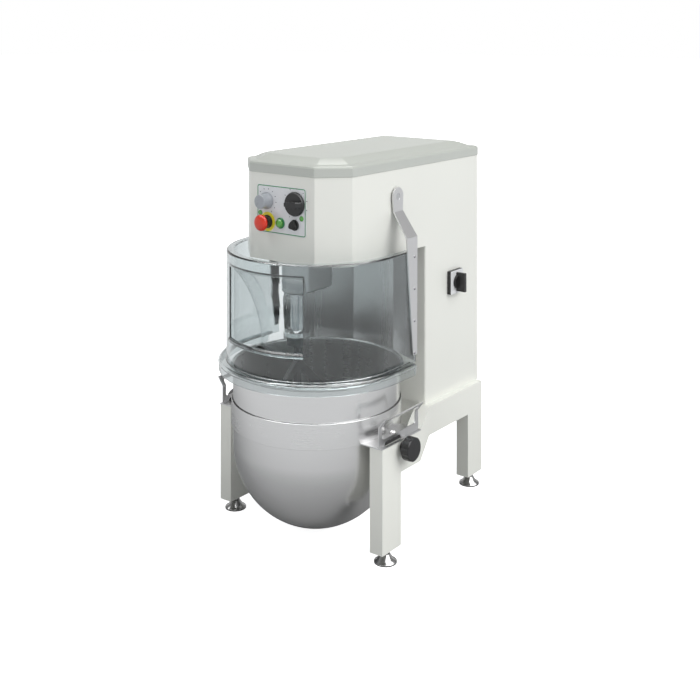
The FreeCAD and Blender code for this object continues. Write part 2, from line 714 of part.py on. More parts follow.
# ================================================================ stand
def beam_sides(margin):
    """Return the beam's outer and inner side lines in plan, drawn in from its walls by a margin."""
    outer = [(STAND_X, FRONT_LEG_REAR), (STAND_X, BEAM_STRAIGHT_END),
             (REAR_X, BEAM_DIAGONAL_END), (REAR_X, REAR_LEG_FRONT)]

    def shifted(distance):
        slope = Vec(outer[2][0] - outer[1][0], outer[2][1] - outer[1][1], 0).normalize()
        bend = distance * math.tan(Y_AXIS.getAngle(slope) / 2)
        return [(outer[0][0] - distance, outer[0][1]), (outer[1][0] - distance, outer[1][1] - bend),
                (outer[2][0] - distance, outer[2][1] - bend), (outer[3][0] - distance, outer[3][1])]

    return shifted(margin), shifted(TUBE_WIDTH - margin)


def side_beam(side):
    """Box-section side beam: straight, slanting inward, then straight to the rear leg."""
    outer, inner = beam_sides(0)
    tube = prism(outer + inner[::-1], BEAM_BOTTOM, STAND_TOP)
    outer, inner = beam_sides(TUBE_WALL)
    tube = tube.cut(prism(outer + inner[::-1], BEAM_BOTTOM + TUBE_WALL, STAND_TOP - TUBE_WALL))
    bore = CLAMP_STUD_RADIUS + LIP_GAP
    stud_hole = rod(STUD_RADIUS / 2, STAND_TOP - 2 * TUBE_WALL, STAND_TOP + 1, STUD_X, STUD_Y)
    tube = tube.cut([rod_x(bore, STAND_X - TUBE_WIDTH - 1, STAND_X + 1, KNOB_Y, KNOB_Z), stud_hole])
    return on_side(tube, side)


def leg(outer_x, front, depth, open_front):
    """Hollow leg with a closed top, a nut boss at the foot and an opening into its beam."""
    x0 = outer_x - TUBE_WIDTH
    rear = front + depth
    wall = TUBE_WALL
    post = box(x0, outer_x, front, rear, LEG_BOTTOM, STAND_TOP)
    room = box(x0 + wall, outer_x - wall, front + wall, rear - wall, LEG_BOTTOM + wall, STAND_TOP - wall)
    mouth = (front - 1, front + 2 * wall) if open_front else (rear - 2 * wall, rear + 1)
    opening = box(x0 + wall, outer_x - wall, mouth[0], mouth[1], BEAM_BOTTOM + wall, STAND_TOP - wall)
    post = post.cut([room, opening])
    x, y = (x0 + outer_x) / 2, (front + rear) / 2
    boss = rod(2 * STEM_RADIUS, LEG_BOTTOM, STEM_TOP - 6, x, y)
    return post.fuse(boss).removeSplitter().cut(rod(STEM_RADIUS + THREAD_CLEARANCE, 0, STEM_TOP + 1, x, y))


def front_leg(side):
    """Front leg at the beam's forward end."""
    return on_side(leg(STAND_X, FRONT_LEG_FRONT, FRONT_LEG_DEPTH, False), side)


def rear_leg(side):
    """Rear leg under the column."""
    return on_side(leg(REAR_X, REAR_LEG_FRONT, REAR_LEG_DEPTH, True), side)


def cross_beams():
    """Two box sections that tie the side beams together under the column."""
    half = REAR_X - TUBE_WIDTH
    tubes = []
    for y0 in (COLUMN_FRONT + 4, REAR_LEG_FRONT - CROSS_BEAM_DEPTH - 8):
        tube = box(-half, half, y0, y0 + CROSS_BEAM_DEPTH, BEAM_BOTTOM, STAND_TOP)
        wall = TUBE_WALL
        room = box(-half - 1, half + 1, y0 + wall, y0 + CROSS_BEAM_DEPTH - wall,
                   BEAM_BOTTOM + wall, STAND_TOP - wall)
        tubes.append(tube.cut(room))
    return Part.makeCompound(tubes)


def foot_places():
    """Return the (x, y) centre of each foot."""
    front_y = FRONT_LEG_FRONT + FRONT_LEG_DEPTH / 2
    rear_y = REAR_LEG_FRONT + REAR_LEG_DEPTH / 2
    places = [(STAND_X - TUBE_WIDTH / 2, front_y), (REAR_X - TUBE_WIDTH / 2, rear_y)]
    return [(side * x, y) for x, y in places for side in (-1, 1)]


def levelling_feet():
    """Conical swivel feet on threaded stems."""
    outline = [(0, 0), (FOOT_RADIUS, 0), (FOOT_RADIUS, FOOT_RIM), (FOOT_RADIUS * 0.72, FOOT_RIM + 5),
               (FOOT_NECK_RADIUS, FOOT_NECK_Z), (STEM_RADIUS, FOOT_NECK_Z), (STEM_RADIUS, STEM_TOP),
               (0, STEM_TOP)]
    feet = []
    for x, y in foot_places():
        foot = revolve(outline)
        foot.translate(Vec(x, y, 0))
        feet.append(foot)
    return Part.makeCompound(feet)


def foot_nuts():
    """Lock nuts that hold the feet's stems against the legs."""
    nuts = []
    for x, y in foot_places():
        nut = hexagon(NUT_FLATS, LEG_BOTTOM - NUT_HEIGHT, LEG_BOTTOM, x, y)
        nuts.append(nut.cut(rod(STEM_RADIUS + THREAD_CLEARANCE, 0, LEG_BOTTOM + 1, x, y)))
    return Part.makeCompound(nuts)


# ================================================================ bowl
def mixing_bowl():
    """Spun bowl: hemispherical bottom, straight wall and rolled rim."""
    bead_r = BOWL_RADIUS + RIM_BEAD - BOWL_WALL
    bead_z = BOWL_RIM_Z - RIM_BEAD
    roll = RIM_BEAD / math.cos(math.pi / RIM_SIDES)

    def at(r, z):
        return Vec(r, 0, z)

    def quarter(radius):
        middle = at(radius * math.sin(math.pi / 4), BOWL_CENTRE_Z - radius * math.cos(math.pi / 4))
        return Part.Arc(at(0, BOWL_CENTRE_Z - radius), middle, at(radius, BOWL_CENTRE_Z)).toShape()

    start = math.pi + math.pi / RIM_SIDES
    rim = []
    for i in range(RIM_SIDES):
        angle = start - 2 * math.pi * i / RIM_SIDES
        point = at(bead_r + roll * math.cos(angle), bead_z + roll * math.sin(angle))
        if point.x > BOWL_RADIUS or point.z > bead_z:
            rim.append(point)
    low = min(point.z for point in rim)
    chain = [at(BOWL_INSIDE, BOWL_CENTRE_Z), at(BOWL_INSIDE, rim[0].z)] + rim
    chain += [at(BOWL_RADIUS, low), at(BOWL_RADIUS, BOWL_CENTRE_Z)]
    steps = [(p, q) for p, q in zip(chain, chain[1:]) if p.distanceToPoint(q) > 0.01]
    edges = [quarter(BOWL_INSIDE)] + [Part.LineSegment(p, q).toShape() for p, q in steps]
    edges += [quarter(BOWL_RADIUS),
              Part.LineSegment(at(0, BOWL_FLOOR_GAP), at(0, BOWL_FLOOR_GAP + BOWL_WALL)).toShape()]
    return Part.Face(Part.Wire(edges)).revolve(AXIS_POINT, Z_AXIS, 360)


def bowl_band():
    """Wrap band that carries the brackets, standing off the bowl above its inturned foot."""
    inner = BOWL_RADIUS + BAND_GAP
    return revolve([(inner, BAND_TOP), (BAND_RADIUS, BAND_TOP), (BAND_RADIUS, BAND_BOTTOM),
                    (BOWL_RADIUS, BAND_BOTTOM), (BOWL_RADIUS, BAND_BOTTOM + BAND_FOOT),
                    (inner, BAND_BOTTOM + BAND_FOOT)])


def bowl_bracket(side):
    """Folded bracket: tray on the stand, upright plate, leaning handle and forked clamp lip."""
    sheet = BRACKET_SHEET
    outer = STAND_X - BRACKET_INSET
    tray = box(BAND_RADIUS - TRAY_LAP, STAND_X, BRACKET_FRONT, BRACKET_REAR, STAND_TOP, STAND_TOP + sheet)
    tray = tray.cut(rod(BAND_RADIUS, BAND_BOTTOM, BAND_TOP))
    section = [(outer - sheet, STAND_TOP), (outer, STAND_TOP), (outer, BRACKET_BEND_Z),
               (outer + HANDLE_LEAN, HANDLE_TOP_Z), (outer + HANDLE_LEAN - sheet, HANDLE_TOP_Z + 1),
               (outer - sheet, BRACKET_BEND_Z + 1)]
    plate = profile_y(section, BRACKET_FRONT, BRACKET_REAR)
    window = rounded_wire([(BRACKET_FRONT + WINDOW_POST, STAND_TOP + WINDOW_STRIP),
                           (BRACKET_REAR - WINDOW_POST, STAND_TOP + WINDOW_STRIP),
                           (BRACKET_REAR - WINDOW_POST, HANDLE_TOP_Z - HANDLE_BAR),
                           (BRACKET_FRONT + WINDOW_POST, HANDLE_TOP_Z - HANDLE_BAR)],
                          [WINDOW_ROUND] * 4, 0)
    cutter = Part.Face(window).extrude(Vec(0, 0, 2 * HANDLE_LEAN + 4 * sheet))
    cutter.rotate(AXIS_POINT, X_AXIS, 90)
    cutter.rotate(AXIS_POINT, Z_AXIS, 90)
    cutter.translate(Vec(outer - 2 * sheet, 0, 0))
    arch = rounded_wire([(ARCH_FRONT, STAND_TOP - ARCH_HEIGHT), (ARCH_REAR, STAND_TOP - ARCH_HEIGHT),
                         (ARCH_REAR, STAND_TOP + ARCH_HEIGHT), (ARCH_FRONT, STAND_TOP + ARCH_HEIGHT)],
                        [WINDOW_ROUND] * 4, 0)
    arch_cut = Part.Face(arch).extrude(Vec(0, 0, 2 * sheet))
    arch_cut.rotate(AXIS_POINT, X_AXIS, 90)
    arch_cut.rotate(AXIS_POINT, Z_AXIS, 90)
    arch_cut.translate(Vec(outer - sheet, 0, 0))
    lip_outer = STAND_X - TUBE_WIDTH - LIP_GAP
    lip = box(lip_outer - sheet, lip_outer, LIP_FRONT, LIP_REAR, STAND_TOP - LIP_DROP, STAND_TOP + sheet)
    slot_half = CLAMP_STUD_RADIUS + LIP_SLOT_CLEARANCE
    slot = box(lip_outer - 2 * sheet, lip_outer + 1, KNOB_Y - slot_half, KNOB_Y + slot_half,
               STAND_TOP - LIP_DROP - 1, KNOB_Z + slot_half)
    stud_hole = rod(STUD_DOME_RADIUS + STUD_HOLE_CLEARANCE, STAND_TOP - 1, STAND_TOP + sheet + 1,
                    STUD_X, STUD_Y)
    bracket = fuse([tray, plate, lip]).cut([cutter, arch_cut, slot, stud_hole])
    return on_side(bracket, side)


def bracket_pads():
    """Dark rubber bumpers set into the arches of the bracket plates."""
    y0, y1 = ARCH_FRONT + LIP_GAP, ARCH_REAR - LIP_GAP
    base = STAND_TOP + BRACKET_SHEET
    top = STAND_TOP + ARCH_HEIGHT - LIP_GAP
    cut = ARCH_HEIGHT / 2
    outline = [(y0, base), (y1, base), (y1, top - cut), (y1 - cut, top), (y0 + cut, top), (y0, top - cut)]
    outer = STAND_X - BRACKET_INSET
    pad = profile_x(outline, outer - BRACKET_SHEET, outer)
    return Part.makeCompound([pad, mirror_x(pad)])


def locating_studs():
    """Domed studs on the side beams that the bowl's brackets drop over."""
    top = STAND_TOP + BRACKET_SHEET + STUD_RISE
    tail = STAND_TOP - TUBE_WALL - 1
    thread = STUD_RADIUS / 2 - THREAD_CLEARANCE
    r = STUD_DOME_RADIUS
    stud = revolve([(0, tail), (thread, tail), (thread, STAND_TOP), (STUD_RADIUS, STAND_TOP),
                    (r, top - STUD_RISE + 3), (r, top - 3), (r * 0.87, top + r * 0.17),
                    (r * 0.5, top + r * 0.5), (0, top + r * 0.62)])
    stud.translate(Vec(STUD_X, STUD_Y, 0))
    return Part.makeCompound([stud, mirror_x(stud)])


def clamp_knob(side):
    """Lobed knob with its stud through the beam and a collar behind the bracket's lip."""
    face = STAND_X + KNOB_GAP
    hub = rod_x(KNOB_HUB_RADIUS, face, face + KNOB_HUB_LENGTH + 1, KNOB_Y, KNOB_Z)
    start = face + KNOB_HUB_LENGTH
    head = rod_x(KNOB_RADIUS, start, start + KNOB_THICKNESS, KNOB_Y, KNOB_Z)
    rims = [edge for edge in head.Edges if abs(edge.Length - 2 * math.pi * KNOB_RADIUS) < 0.01]
    head = head.makeChamfer(2.0, rims)
    reach = KNOB_RADIUS + KNOB_SCALLOP_RADIUS - KNOB_SCALLOP_DEPTH
    scallops = []
    for i in range(KNOB_LOBES):
        angle = 2 * math.pi * (i + 0.5) / KNOB_LOBES
        y = KNOB_Y + reach * math.cos(angle)
        z = KNOB_Z + reach * math.sin(angle)
        scallops.append(rod_x(KNOB_SCALLOP_RADIUS, start - 1, start + KNOB_THICKNESS + 1, y, z))
    tip = STAND_X - TUBE_WIDTH - 2 * LIP_GAP - BRACKET_SHEET
    stud = rod_x(CLAMP_STUD_RADIUS, tip, face + 1, KNOB_Y, KNOB_Z)
    collar = rod_x(CLAMP_COLLAR_RADIUS, tip - CLAMP_COLLAR, tip, KNOB_Y, KNOB_Z)
    return on_side(fuse([hub, head.cut(scallops), stud, collar]), side)


# ================================================================ gears
def gear_outline(teeth, tip, root, thin):
    """Return an involute gear's plan points, its first tooth pointing to the front.

    A positive thin takes that much off each tooth's thickness; a negative one adds it.
    """
    pitch = MODULE * teeth / 2
    base = pitch * math.cos(PRESSURE_ANGLE)
    half_at_pitch = (math.pi * MODULE / 2 - thin) / (2 * pitch)
    involute_at_pitch = math.tan(PRESSURE_ANGLE) - PRESSURE_ANGLE
    start = max(root, base)
    radii = [start + (tip - start) * i / 3 for i in range(4)]
    flank = []
    for radius in radii:
        angle = math.acos(min(1.0, base / radius))
        flank.append((radius, half_at_pitch + involute_at_pitch - (math.tan(angle) - angle)))
    if root < base:
        flank.insert(0, (root, flank[0][1]))
    points = []
    for tooth in range(teeth):
        centre = -math.pi / 2 + 2 * math.pi * tooth / teeth
        for radius, half in flank:
            points.append((radius * math.cos(centre - half), radius * math.sin(centre - half)))
        for radius, half in reversed(flank):
            points.append((radius * math.cos(centre + half), radius * math.sin(centre + half)))
    return points


def ring_gear():
    """Fixed internal gear that the planet pinion rolls in."""
    space = gear_outline(RING_TEETH, RING_PITCH + MODULE + TIP_CLEARANCE, RING_PITCH - MODULE, -BACKLASH)
    body = rod(RING_PITCH + MODULE + RING_BODY, RING_BOTTOM, RING_TOP)
    return body.cut(prism(space, RING_BOTTOM - 1, RING_TOP + 1))


def planet_pinion():
    """Planet pinion on the tool shaft, in mesh with the ring gear."""
    root = PINION_PITCH - MODULE - TIP_CLEARANCE
    outline = gear_outline(PINION_TEETH, PINION_PITCH + MODULE, root, BACKLASH)
    gear = prism(outline, RING_BOTTOM + PINION_INSET, RING_TOP - PINION_INSET)
    gear = gear.cut(rod(TOOL_SHAFT_TOP_RADIUS + FIT_CLEARANCE, RING_BOTTOM, RING_TOP))
    gear.translate(Vec(0, -PLANET_RADIUS, 0))
    return gear


# ================================================================ planetary head
def stadium(radius, z0, z1):
    """Return the planet arm's plan, round about the drive and tool axes, as a solid."""
    bar = box(-radius, radius, -PLANET_RADIUS, 0, z0, z1)
    return fuse([bar, rod(radius, z0, z1), rod(radius, z0, z1, 0, -PLANET_RADIUS)])


def planet_carrier():
    """Turning disc under the head with the hollow arm that carries the tool shaft."""
    disc_bottom = CARRIER_TOP - CARRIER_DISC
    arm = stadium(ARM_RADIUS, ARM_BOTTOM, disc_bottom)
    low_edges = [e for e in arm.Edges if abs(e.BoundBox.ZMax - ARM_BOTTOM) < 0.01]
    arm = arm.makeChamfer(ARM_CHAMFER, low_edges)
    body = fuse([arm, rod(CARRIER_DISC_RADIUS, disc_bottom, CARRIER_TOP),
                 rod(HUB_RADIUS, CARRIER_TOP, CARRIER_TOP + HUB_RISE)])
    bearing = TOOL_BEARING_RADIUS + FIT_CLEARANCE
    tool_y = -PLANET_RADIUS
    cuts = [rod(bearing, ARM_BOTTOM - 1, ARM_BOTTOM + TOOL_BEARING_WIDTH, 0, tool_y),
            rod(bearing, CARRIER_TOP - TOOL_BEARING_WIDTH, CARRIER_TOP + HUB_RISE + 1, 0, tool_y),
            rod(TOOL_SHAFT_RADIUS + 3, ARM_BOTTOM, CARRIER_TOP, 0, tool_y),
            rod(MAIN_SHAFT_RADIUS + FIT_CLEARANCE, disc_bottom, CARRIER_TOP + HUB_RISE + 1)]
    return body.cut(cuts)


def tool_bearings():
    """Sealed bearings of the tool shaft in the arm, upper and lower."""
    inner = TOOL_SHAFT_RADIUS + RUNNING_CLEARANCE
    levels = (ARM_BOTTOM, CARRIER_TOP - TOOL_BEARING_WIDTH)
    return Part.makeCompound([ring(TOOL_BEARING_RADIUS, inner, z, z + TOOL_BEARING_WIDTH, 0, -PLANET_RADIUS)
                              for z in levels])


def main_bearing_levels():
    """Return the height of each main bearing's lower face."""
    return (PLATE_TOP + 4, PLATE_TOP + HOUSING_HEIGHT - MAIN_BEARING_WIDTH - 4)


def main_bearings():
    """Sealed bearings of the main shaft in the bearing housing."""
    inner = MAIN_SHAFT_RADIUS + RUNNING_CLEARANCE
    return Part.makeCompound([ring(MAIN_BEARING_RADIUS, inner, z, z + MAIN_BEARING_WIDTH)
                              for z in main_bearing_levels()])


def bearing_housing():
    """Cast housing on the bearing plate, with four ribs."""
    top = PLATE_TOP + HOUSING_HEIGHT
    body = fuse([rod(HOUSING_FLANGE_RADIUS, PLATE_TOP, PLATE_TOP + HOUSING_FLANGE),
                 rod(HOUSING_RADIUS, PLATE_TOP, top)])
    rib = [(HOUSING_RADIUS - 2, PLATE_TOP), (HOUSING_FLANGE_RADIUS - 2, PLATE_TOP),
           (HOUSING_FLANGE_RADIUS - 2, PLATE_TOP + HOUSING_FLANGE + 2), (HOUSING_RADIUS - 2, top - 18)]
    plain = profile_y(rib, -HOUSING_RIB / 2, HOUSING_RIB / 2)
    ribs = [turned(plain, Z_AXIS, 45 + 90 * i) for i in range(4)]
    low, high = main_bearing_levels()
    seat = MAIN_BEARING_RADIUS + FIT_CLEARANCE
    cuts = [rod(MAIN_SHAFT_RADIUS + SHAFT_RELIEF, PLATE_TOP - 1, top + 1),
            rod(seat, PLATE_TOP - 1, low + MAIN_BEARING_WIDTH), rod(seat, high, top + 1)]
    return body.fuse(ribs).removeSplitter().cut(cuts)


def bearing_plate():
    """Thick plate across the head that carries the bearing housing and the ring gear."""
    half = HALF_WIDTH - SHEET
    plan = [(-half, PLATE_FRONT + 40), (-half + 42, PLATE_FRONT), (half - 42, PLATE_FRONT),
            (half, PLATE_FRONT + 40), (half, PLATE_REAR), (-half, PLATE_REAR)]
    plate = prism(plan, RING_TOP, PLATE_TOP)
    return plate.cut(rod(MAIN_BEARING_RADIUS - 6, RING_TOP - 1, PLATE_TOP + 1))


def main_shaft():
    """Main shaft from the carrier's hub up to the large pulley."""
    shaft = rod(MAIN_SHAFT_RADIUS, CARRIER_TOP - CARRIER_DISC, PULLEY_TOP + 4)
    rims = [e for e in shaft.Edges if abs(e.BoundBox.ZMin - PULLEY_TOP - 4) < 0.01]
    return shaft.makeChamfer(1.5, rims)


# ================================================================ belt drive
def pulley(radius, bore):
    """Flanged belt pulley drawn about the Z axis."""
    flange = radius + FLANGE_RISE
    low, high = BELT_BOTTOM, BELT_BOTTOM + BELT_WIDTH
    return revolve([(bore, PULLEY_BOTTOM), (flange, PULLEY_BOTTOM), (flange, low), (radius, low),
                    (radius, high), (flange, high), (flange, PULLEY_TOP), (bore, PULLEY_TOP)])


def main_pulley():
    """Large pulley, its web lightened by a circle of holes."""
    hub = MAIN_SHAFT_RADIUS + 14
    rim = MAIN_PULLEY_RADIUS - PULLEY_RIM
    wheel = pulley(MAIN_PULLEY_RADIUS, MAIN_SHAFT_RADIUS + FIT_CLEARANCE)
    middle = (PULLEY_BOTTOM + PULLEY_TOP) / 2
    cuts = [ring(rim, hub, middle + PULLEY_WEB / 2, PULLEY_TOP + 1),
            ring(rim, hub, PULLEY_BOTTOM - 1, middle - PULLEY_WEB / 2)]
    reach = (rim + hub) / 2
    for i in range(PULLEY_SPOKE_HOLES):
        angle = 2 * math.pi * i / PULLEY_SPOKE_HOLES
        cuts.append(rod((rim - hub) * 0.32, PULLEY_BOTTOM, PULLEY_TOP,
                        reach * math.cos(angle), reach * math.sin(angle)))
    return wheel.cut(cuts)


def motor_pulley():
    """Small pulley on the motor shaft."""
    wheel = pulley(MOTOR_PULLEY_RADIUS, MOTOR_SHAFT_RADIUS + FIT_CLEARANCE)
    wheel.translate(Vec(0, MOTOR_Y, 0))
    return wheel


def motor_shaft():
    """Motor shaft above the motor's end shield."""
    return rod(MOTOR_SHAFT_RADIUS, MOTOR_PLATE_Z - MOTOR_FLANGE, PULLEY_TOP + 2, 0, MOTOR_Y)


def belt_loop(extra):
    """Return the belt's plan at a distance outside the pulley faces, as a solid."""
    big = MAIN_PULLEY_RADIUS + extra
    small = MOTOR_PULLEY_RADIUS + extra
    lean = math.asin((big - small) / MOTOR_Y)
    z = BELT_BOTTOM + FIT_CLEARANCE

    def at(radius, y, angle):
        return Vec(radius * math.cos(angle), y + radius * math.sin(angle), z)

    right_big, left_big = at(big, 0, lean), at(big, 0, math.pi - lean)
    right_small, left_small = at(small, MOTOR_Y, lean), at(small, MOTOR_Y, math.pi - lean)
    edges = [Part.Arc(left_big, at(big, 0, -math.pi / 2), right_big).toShape(),
             Part.LineSegment(right_big, right_small).toShape(),
             Part.Arc(right_small, at(small, MOTOR_Y, math.pi / 2), left_small).toShape(),
             Part.LineSegment(left_small, left_big).toShape()]
    height = BELT_WIDTH - 2 * FIT_CLEARANCE
    return Part.Face(Part.Wire(edges)).extrude(Vec(0, 0, height))


def drive_belt():
    """Ribbed belt round both pulleys."""
    return belt_loop(BELT_GAP + BELT_THICKNESS).cut(belt_loop(BELT_GAP))


def drive_motor():
    """Flange motor hanging under its plate, with cooling fins and a terminal box."""
    top = MOTOR_PLATE_Z
    core_radius = MOTOR_RADIUS - MOTOR_FIN_DEPTH
    cowl_top = MOTOR_BOTTOM + MOTOR_COWL
    core = rod(core_radius, MOTOR_BOTTOM, top - MOTOR_FLANGE)
    fin = box(core_radius - 2, MOTOR_RADIUS, -2, 2, cowl_top + 4, top - 2 * MOTOR_FLANGE)
    fins = [turned(fin, Z_AXIS, 360 * i / MOTOR_FINS) for i in range(MOTOR_FINS)]
    cowl = revolve([(0, MOTOR_BOTTOM - 4), (MOTOR_RADIUS - 10, MOTOR_BOTTOM - 4),
                    (MOTOR_RADIUS, MOTOR_BOTTOM + 6), (MOTOR_RADIUS, cowl_top), (0, cowl_top)])
    flange = rod(MOTOR_FLANGE_RADIUS, top - MOTOR_FLANGE, top)
    half = TERMINAL_WIDTH / 2
    low = cowl_top + 30
    terminal = box(-half, half, core_radius - 2, MOTOR_RADIUS + TERMINAL_DEPTH, low, low + TERMINAL_HEIGHT)
    motor = core.fuse(fins + [cowl, flange, terminal]).removeSplitter()
    motor = motor.cut(rod(MOTOR_SHAFT_RADIUS + RUNNING_CLEARANCE, top - MOTOR_FLANGE, top + 1))
    motor.translate(Vec(0, MOTOR_Y, 0))
    return motor


def motor_plate():
    """Plate across the column that the motor hangs from."""
    half = HALF_WIDTH - SHEET
    plate = box(-half, half, MOTOR_Y - MOTOR_FLANGE_RADIUS - 8, MOTOR_Y + MOTOR_FLANGE_RADIUS + 8,
                MOTOR_PLATE_Z, MOTOR_PLATE_Z + MOTOR_PLATE)
    hole = rod(MOTOR_SHAFT_RADIUS + 4, MOTOR_PLATE_Z - 1, MOTOR_PLATE_Z + MOTOR_PLATE + 1, 0, MOTOR_Y)
    return plate.cut(hole)


def inverter_box():
    """Speed controller on the column's front wall, with a finned heat sink on its face."""
    y0 = COLUMN_FRONT + SHEET
    y1 = y0 + INVERTER_DEPTH
    half = INVERTER_WIDTH / 2
    z1 = INVERTER_BOTTOM + INVERTER_HEIGHT
    case = box(-half, half, y0, y1, INVERTER_BOTTOM, z1)
    pitch = INVERTER_WIDTH / (INVERTER_FINS + 1)
    slots = []
    for i in range(INVERTER_FINS):
        x = -half + pitch * (i + 1)
        slots.append(box(x - pitch / 4, x + pitch / 4, y1 - 16, y1 + 1, INVERTER_BOTTOM + 50, z1 + 1))
    return case.cut(slots)


# ================================================================ tool
def tool_shaft():
    """Tool shaft: pinion seat at the top, bearing journal, and spigot with its drive pin."""
    hub_top = COLLAR_BOTTOM - COLLAR_SKIRT_GAP
    journal_top = CARRIER_TOP + HUB_RISE
    shaft = fuse([rod(TOOL_SPIGOT_RADIUS, BEATER_HUB_BOTTOM + BEATER_WALL, hub_top),
                  rod(TOOL_SHAFT_RADIUS, hub_top, journal_top),
                  rod(TOOL_SHAFT_TOP_RADIUS, journal_top, RING_TOP - PINION_INSET)])
    pin_half = BEATER_HUB_RADIUS + 3
    pin = rod_x(DRIVE_PIN_RADIUS, -pin_half, pin_half, 0, BEATER_HUB_BOTTOM + DRIVE_PIN_RISE)
    shaft = shaft.fuse(pin)
    shaft.translate(Vec(0, -PLANET_RADIUS, 0))
    return shaft


def locking_collar():
    """Grooved collar above the tool's hub."""
    bore = TOOL_SHAFT_RADIUS + FIT_CLEARANCE
    collar = revolve([(bore, COLLAR_BOTTOM), (COLLAR_RADIUS - 1.5, COLLAR_BOTTOM),
                      (COLLAR_RADIUS, COLLAR_BOTTOM + 1.5), (COLLAR_RADIUS, COLLAR_TOP - 5),
                      (COLLAR_RADIUS - 8, COLLAR_TOP), (bore, COLLAR_TOP)])
    rim = COLLAR_RADIUS + 0.6
    root = COLLAR_RADIUS - COLLAR_GROOVE
    half = math.radians(COLLAR_GROOVE_ANGLE / 2)
    grooves = []
    for i in range(COLLAR_GROOVES):
        angle = 2 * math.pi * i / COLLAR_GROOVES
        corners = [(r * math.cos(a), r * math.sin(a))
                   for r, a in ((rim, angle - half), (root, angle), (rim, angle + half))]
        grooves.append(prism(corners, COLLAR_BOTTOM - 1, COLLAR_TOP - 4))
    collar = collar.cut(grooves)
    collar.translate(Vec(0, -PLANET_RADIUS, 0))
    return collar


def beater_outline(shrink):
    """Return the flat beater's outline in its own plane, as a wire of (across, height)."""
    reach = BOWL_INSIDE - BEATER_CLEARANCE - shrink
    side = reach - PLANET_RADIUS
    tip = BEATER_TIP - shrink * 0.5
    low = BOWL_CENTRE_Z - math.sqrt(reach ** 2 - (PLANET_RADIUS + tip) ** 2)
    turn = 0.5 * (math.asin((PLANET_RADIUS + tip) / reach) + math.pi / 2)
    knee = (reach * math.sin(turn) - PLANET_RADIUS, BOWL_CENTRE_Z - reach * math.cos(turn))
    fork = BEATER_FORK_Z - shrink * 1.4
    neck = BEATER_STEM / 2 if shrink == 0 else 1.0

    def at(across, height):
        return Vec(0, across, height)

    right = [at(tip, low), at(*knee), at(side, BOWL_CENTRE_Z)]
    left = [at(-side, BOWL_CENTRE_Z), at(-knee[0], knee[1]), at(-tip, low)]
    top = [at(side, BOWL_CENTRE_Z), at(side, BEATER_SHOULDER_Z - shrink), at(neck, fork),
           at(-neck, fork), at(-side, BEATER_SHOULDER_Z - shrink), at(-side, BOWL_CENTRE_Z)]
    edges = [Part.Arc(*right).toShape()]
    edges += [Part.LineSegment(a, b).toShape() for a, b in zip(top, top[1:])]
    edges.append(Part.Arc(*left).toShape())
    edges.append(Part.LineSegment(left[2], right[0]).toShape())
    return Part.Wire(edges)


def flat_beater():
    """Flat beater: hub, stem, bowl-shaped frame and slanting ribs."""
    half = BEATER_THICKNESS / 2

    def slab(wire):
        solid = Part.Face(wire).extrude(Vec(BEATER_THICKNESS, 0, 0))
        solid.translate(Vec(-half, 0, 0))
        return solid

    outside = slab(beater_outline(0))
    frame = outside.cut(slab(beater_outline(BEATER_BAR)))
    low = BOWL_FLOOR_GAP + BEATER_BAR
    stem_half = BEATER_STEM / 2
    stem = box(-half, half, -stem_half, stem_half, low, BEATER_FORK_Z)
    bars = [stem]
    for i in range(BEATER_RIBS):
        z = BEATER_SHOULDER_Z - RIB_START - RIB_PITCH * i
        for side in (-1, 1):
            end = (side * BOWL_INSIDE, z - RIB_SLOPE * BOWL_INSIDE)
            rib = [(0, z), end, (end[0], end[1] - BEATER_BAR), (0, z - BEATER_BAR)]
            bars.append(profile_x(rib, -half, half))
    ribs = bars[0].fuse(bars[1:]).common(outside)
    hub_top = COLLAR_BOTTOM - COLLAR_SKIRT_GAP
    hub = rod(BEATER_HUB_RADIUS, BEATER_HUB_BOTTOM, hub_top)
    neck = rod(BEATER_NECK_RADIUS, BEATER_FORK_Z - BEATER_NECK_LAP, BEATER_HUB_BOTTOM)
    beater = frame.fuse([ribs, hub, neck]).removeSplitter()
    bore = rod(TOOL_SPIGOT_RADIUS + FIT_CLEARANCE, BEATER_HUB_BOTTOM + BEATER_WALL, hub_top + 1)
    pin_z = BEATER_HUB_BOTTOM + DRIVE_PIN_RISE
    pin_slot = rod_x(DRIVE_PIN_RADIUS + FIT_CLEARANCE, -COLLAR_RADIUS, COLLAR_RADIUS, 0, pin_z)
    slot_half = DRIVE_PIN_RADIUS + FIT_CLEARANCE
    mouth = box(-COLLAR_RADIUS, COLLAR_RADIUS, -slot_half, slot_half, pin_z, hub_top + 1)
    beater = beater.cut([bore, pin_slot, turned(mouth, Z_AXIS, 38)])
    beater.translate(Vec(0, -PLANET_RADIUS, 0))
    return beater


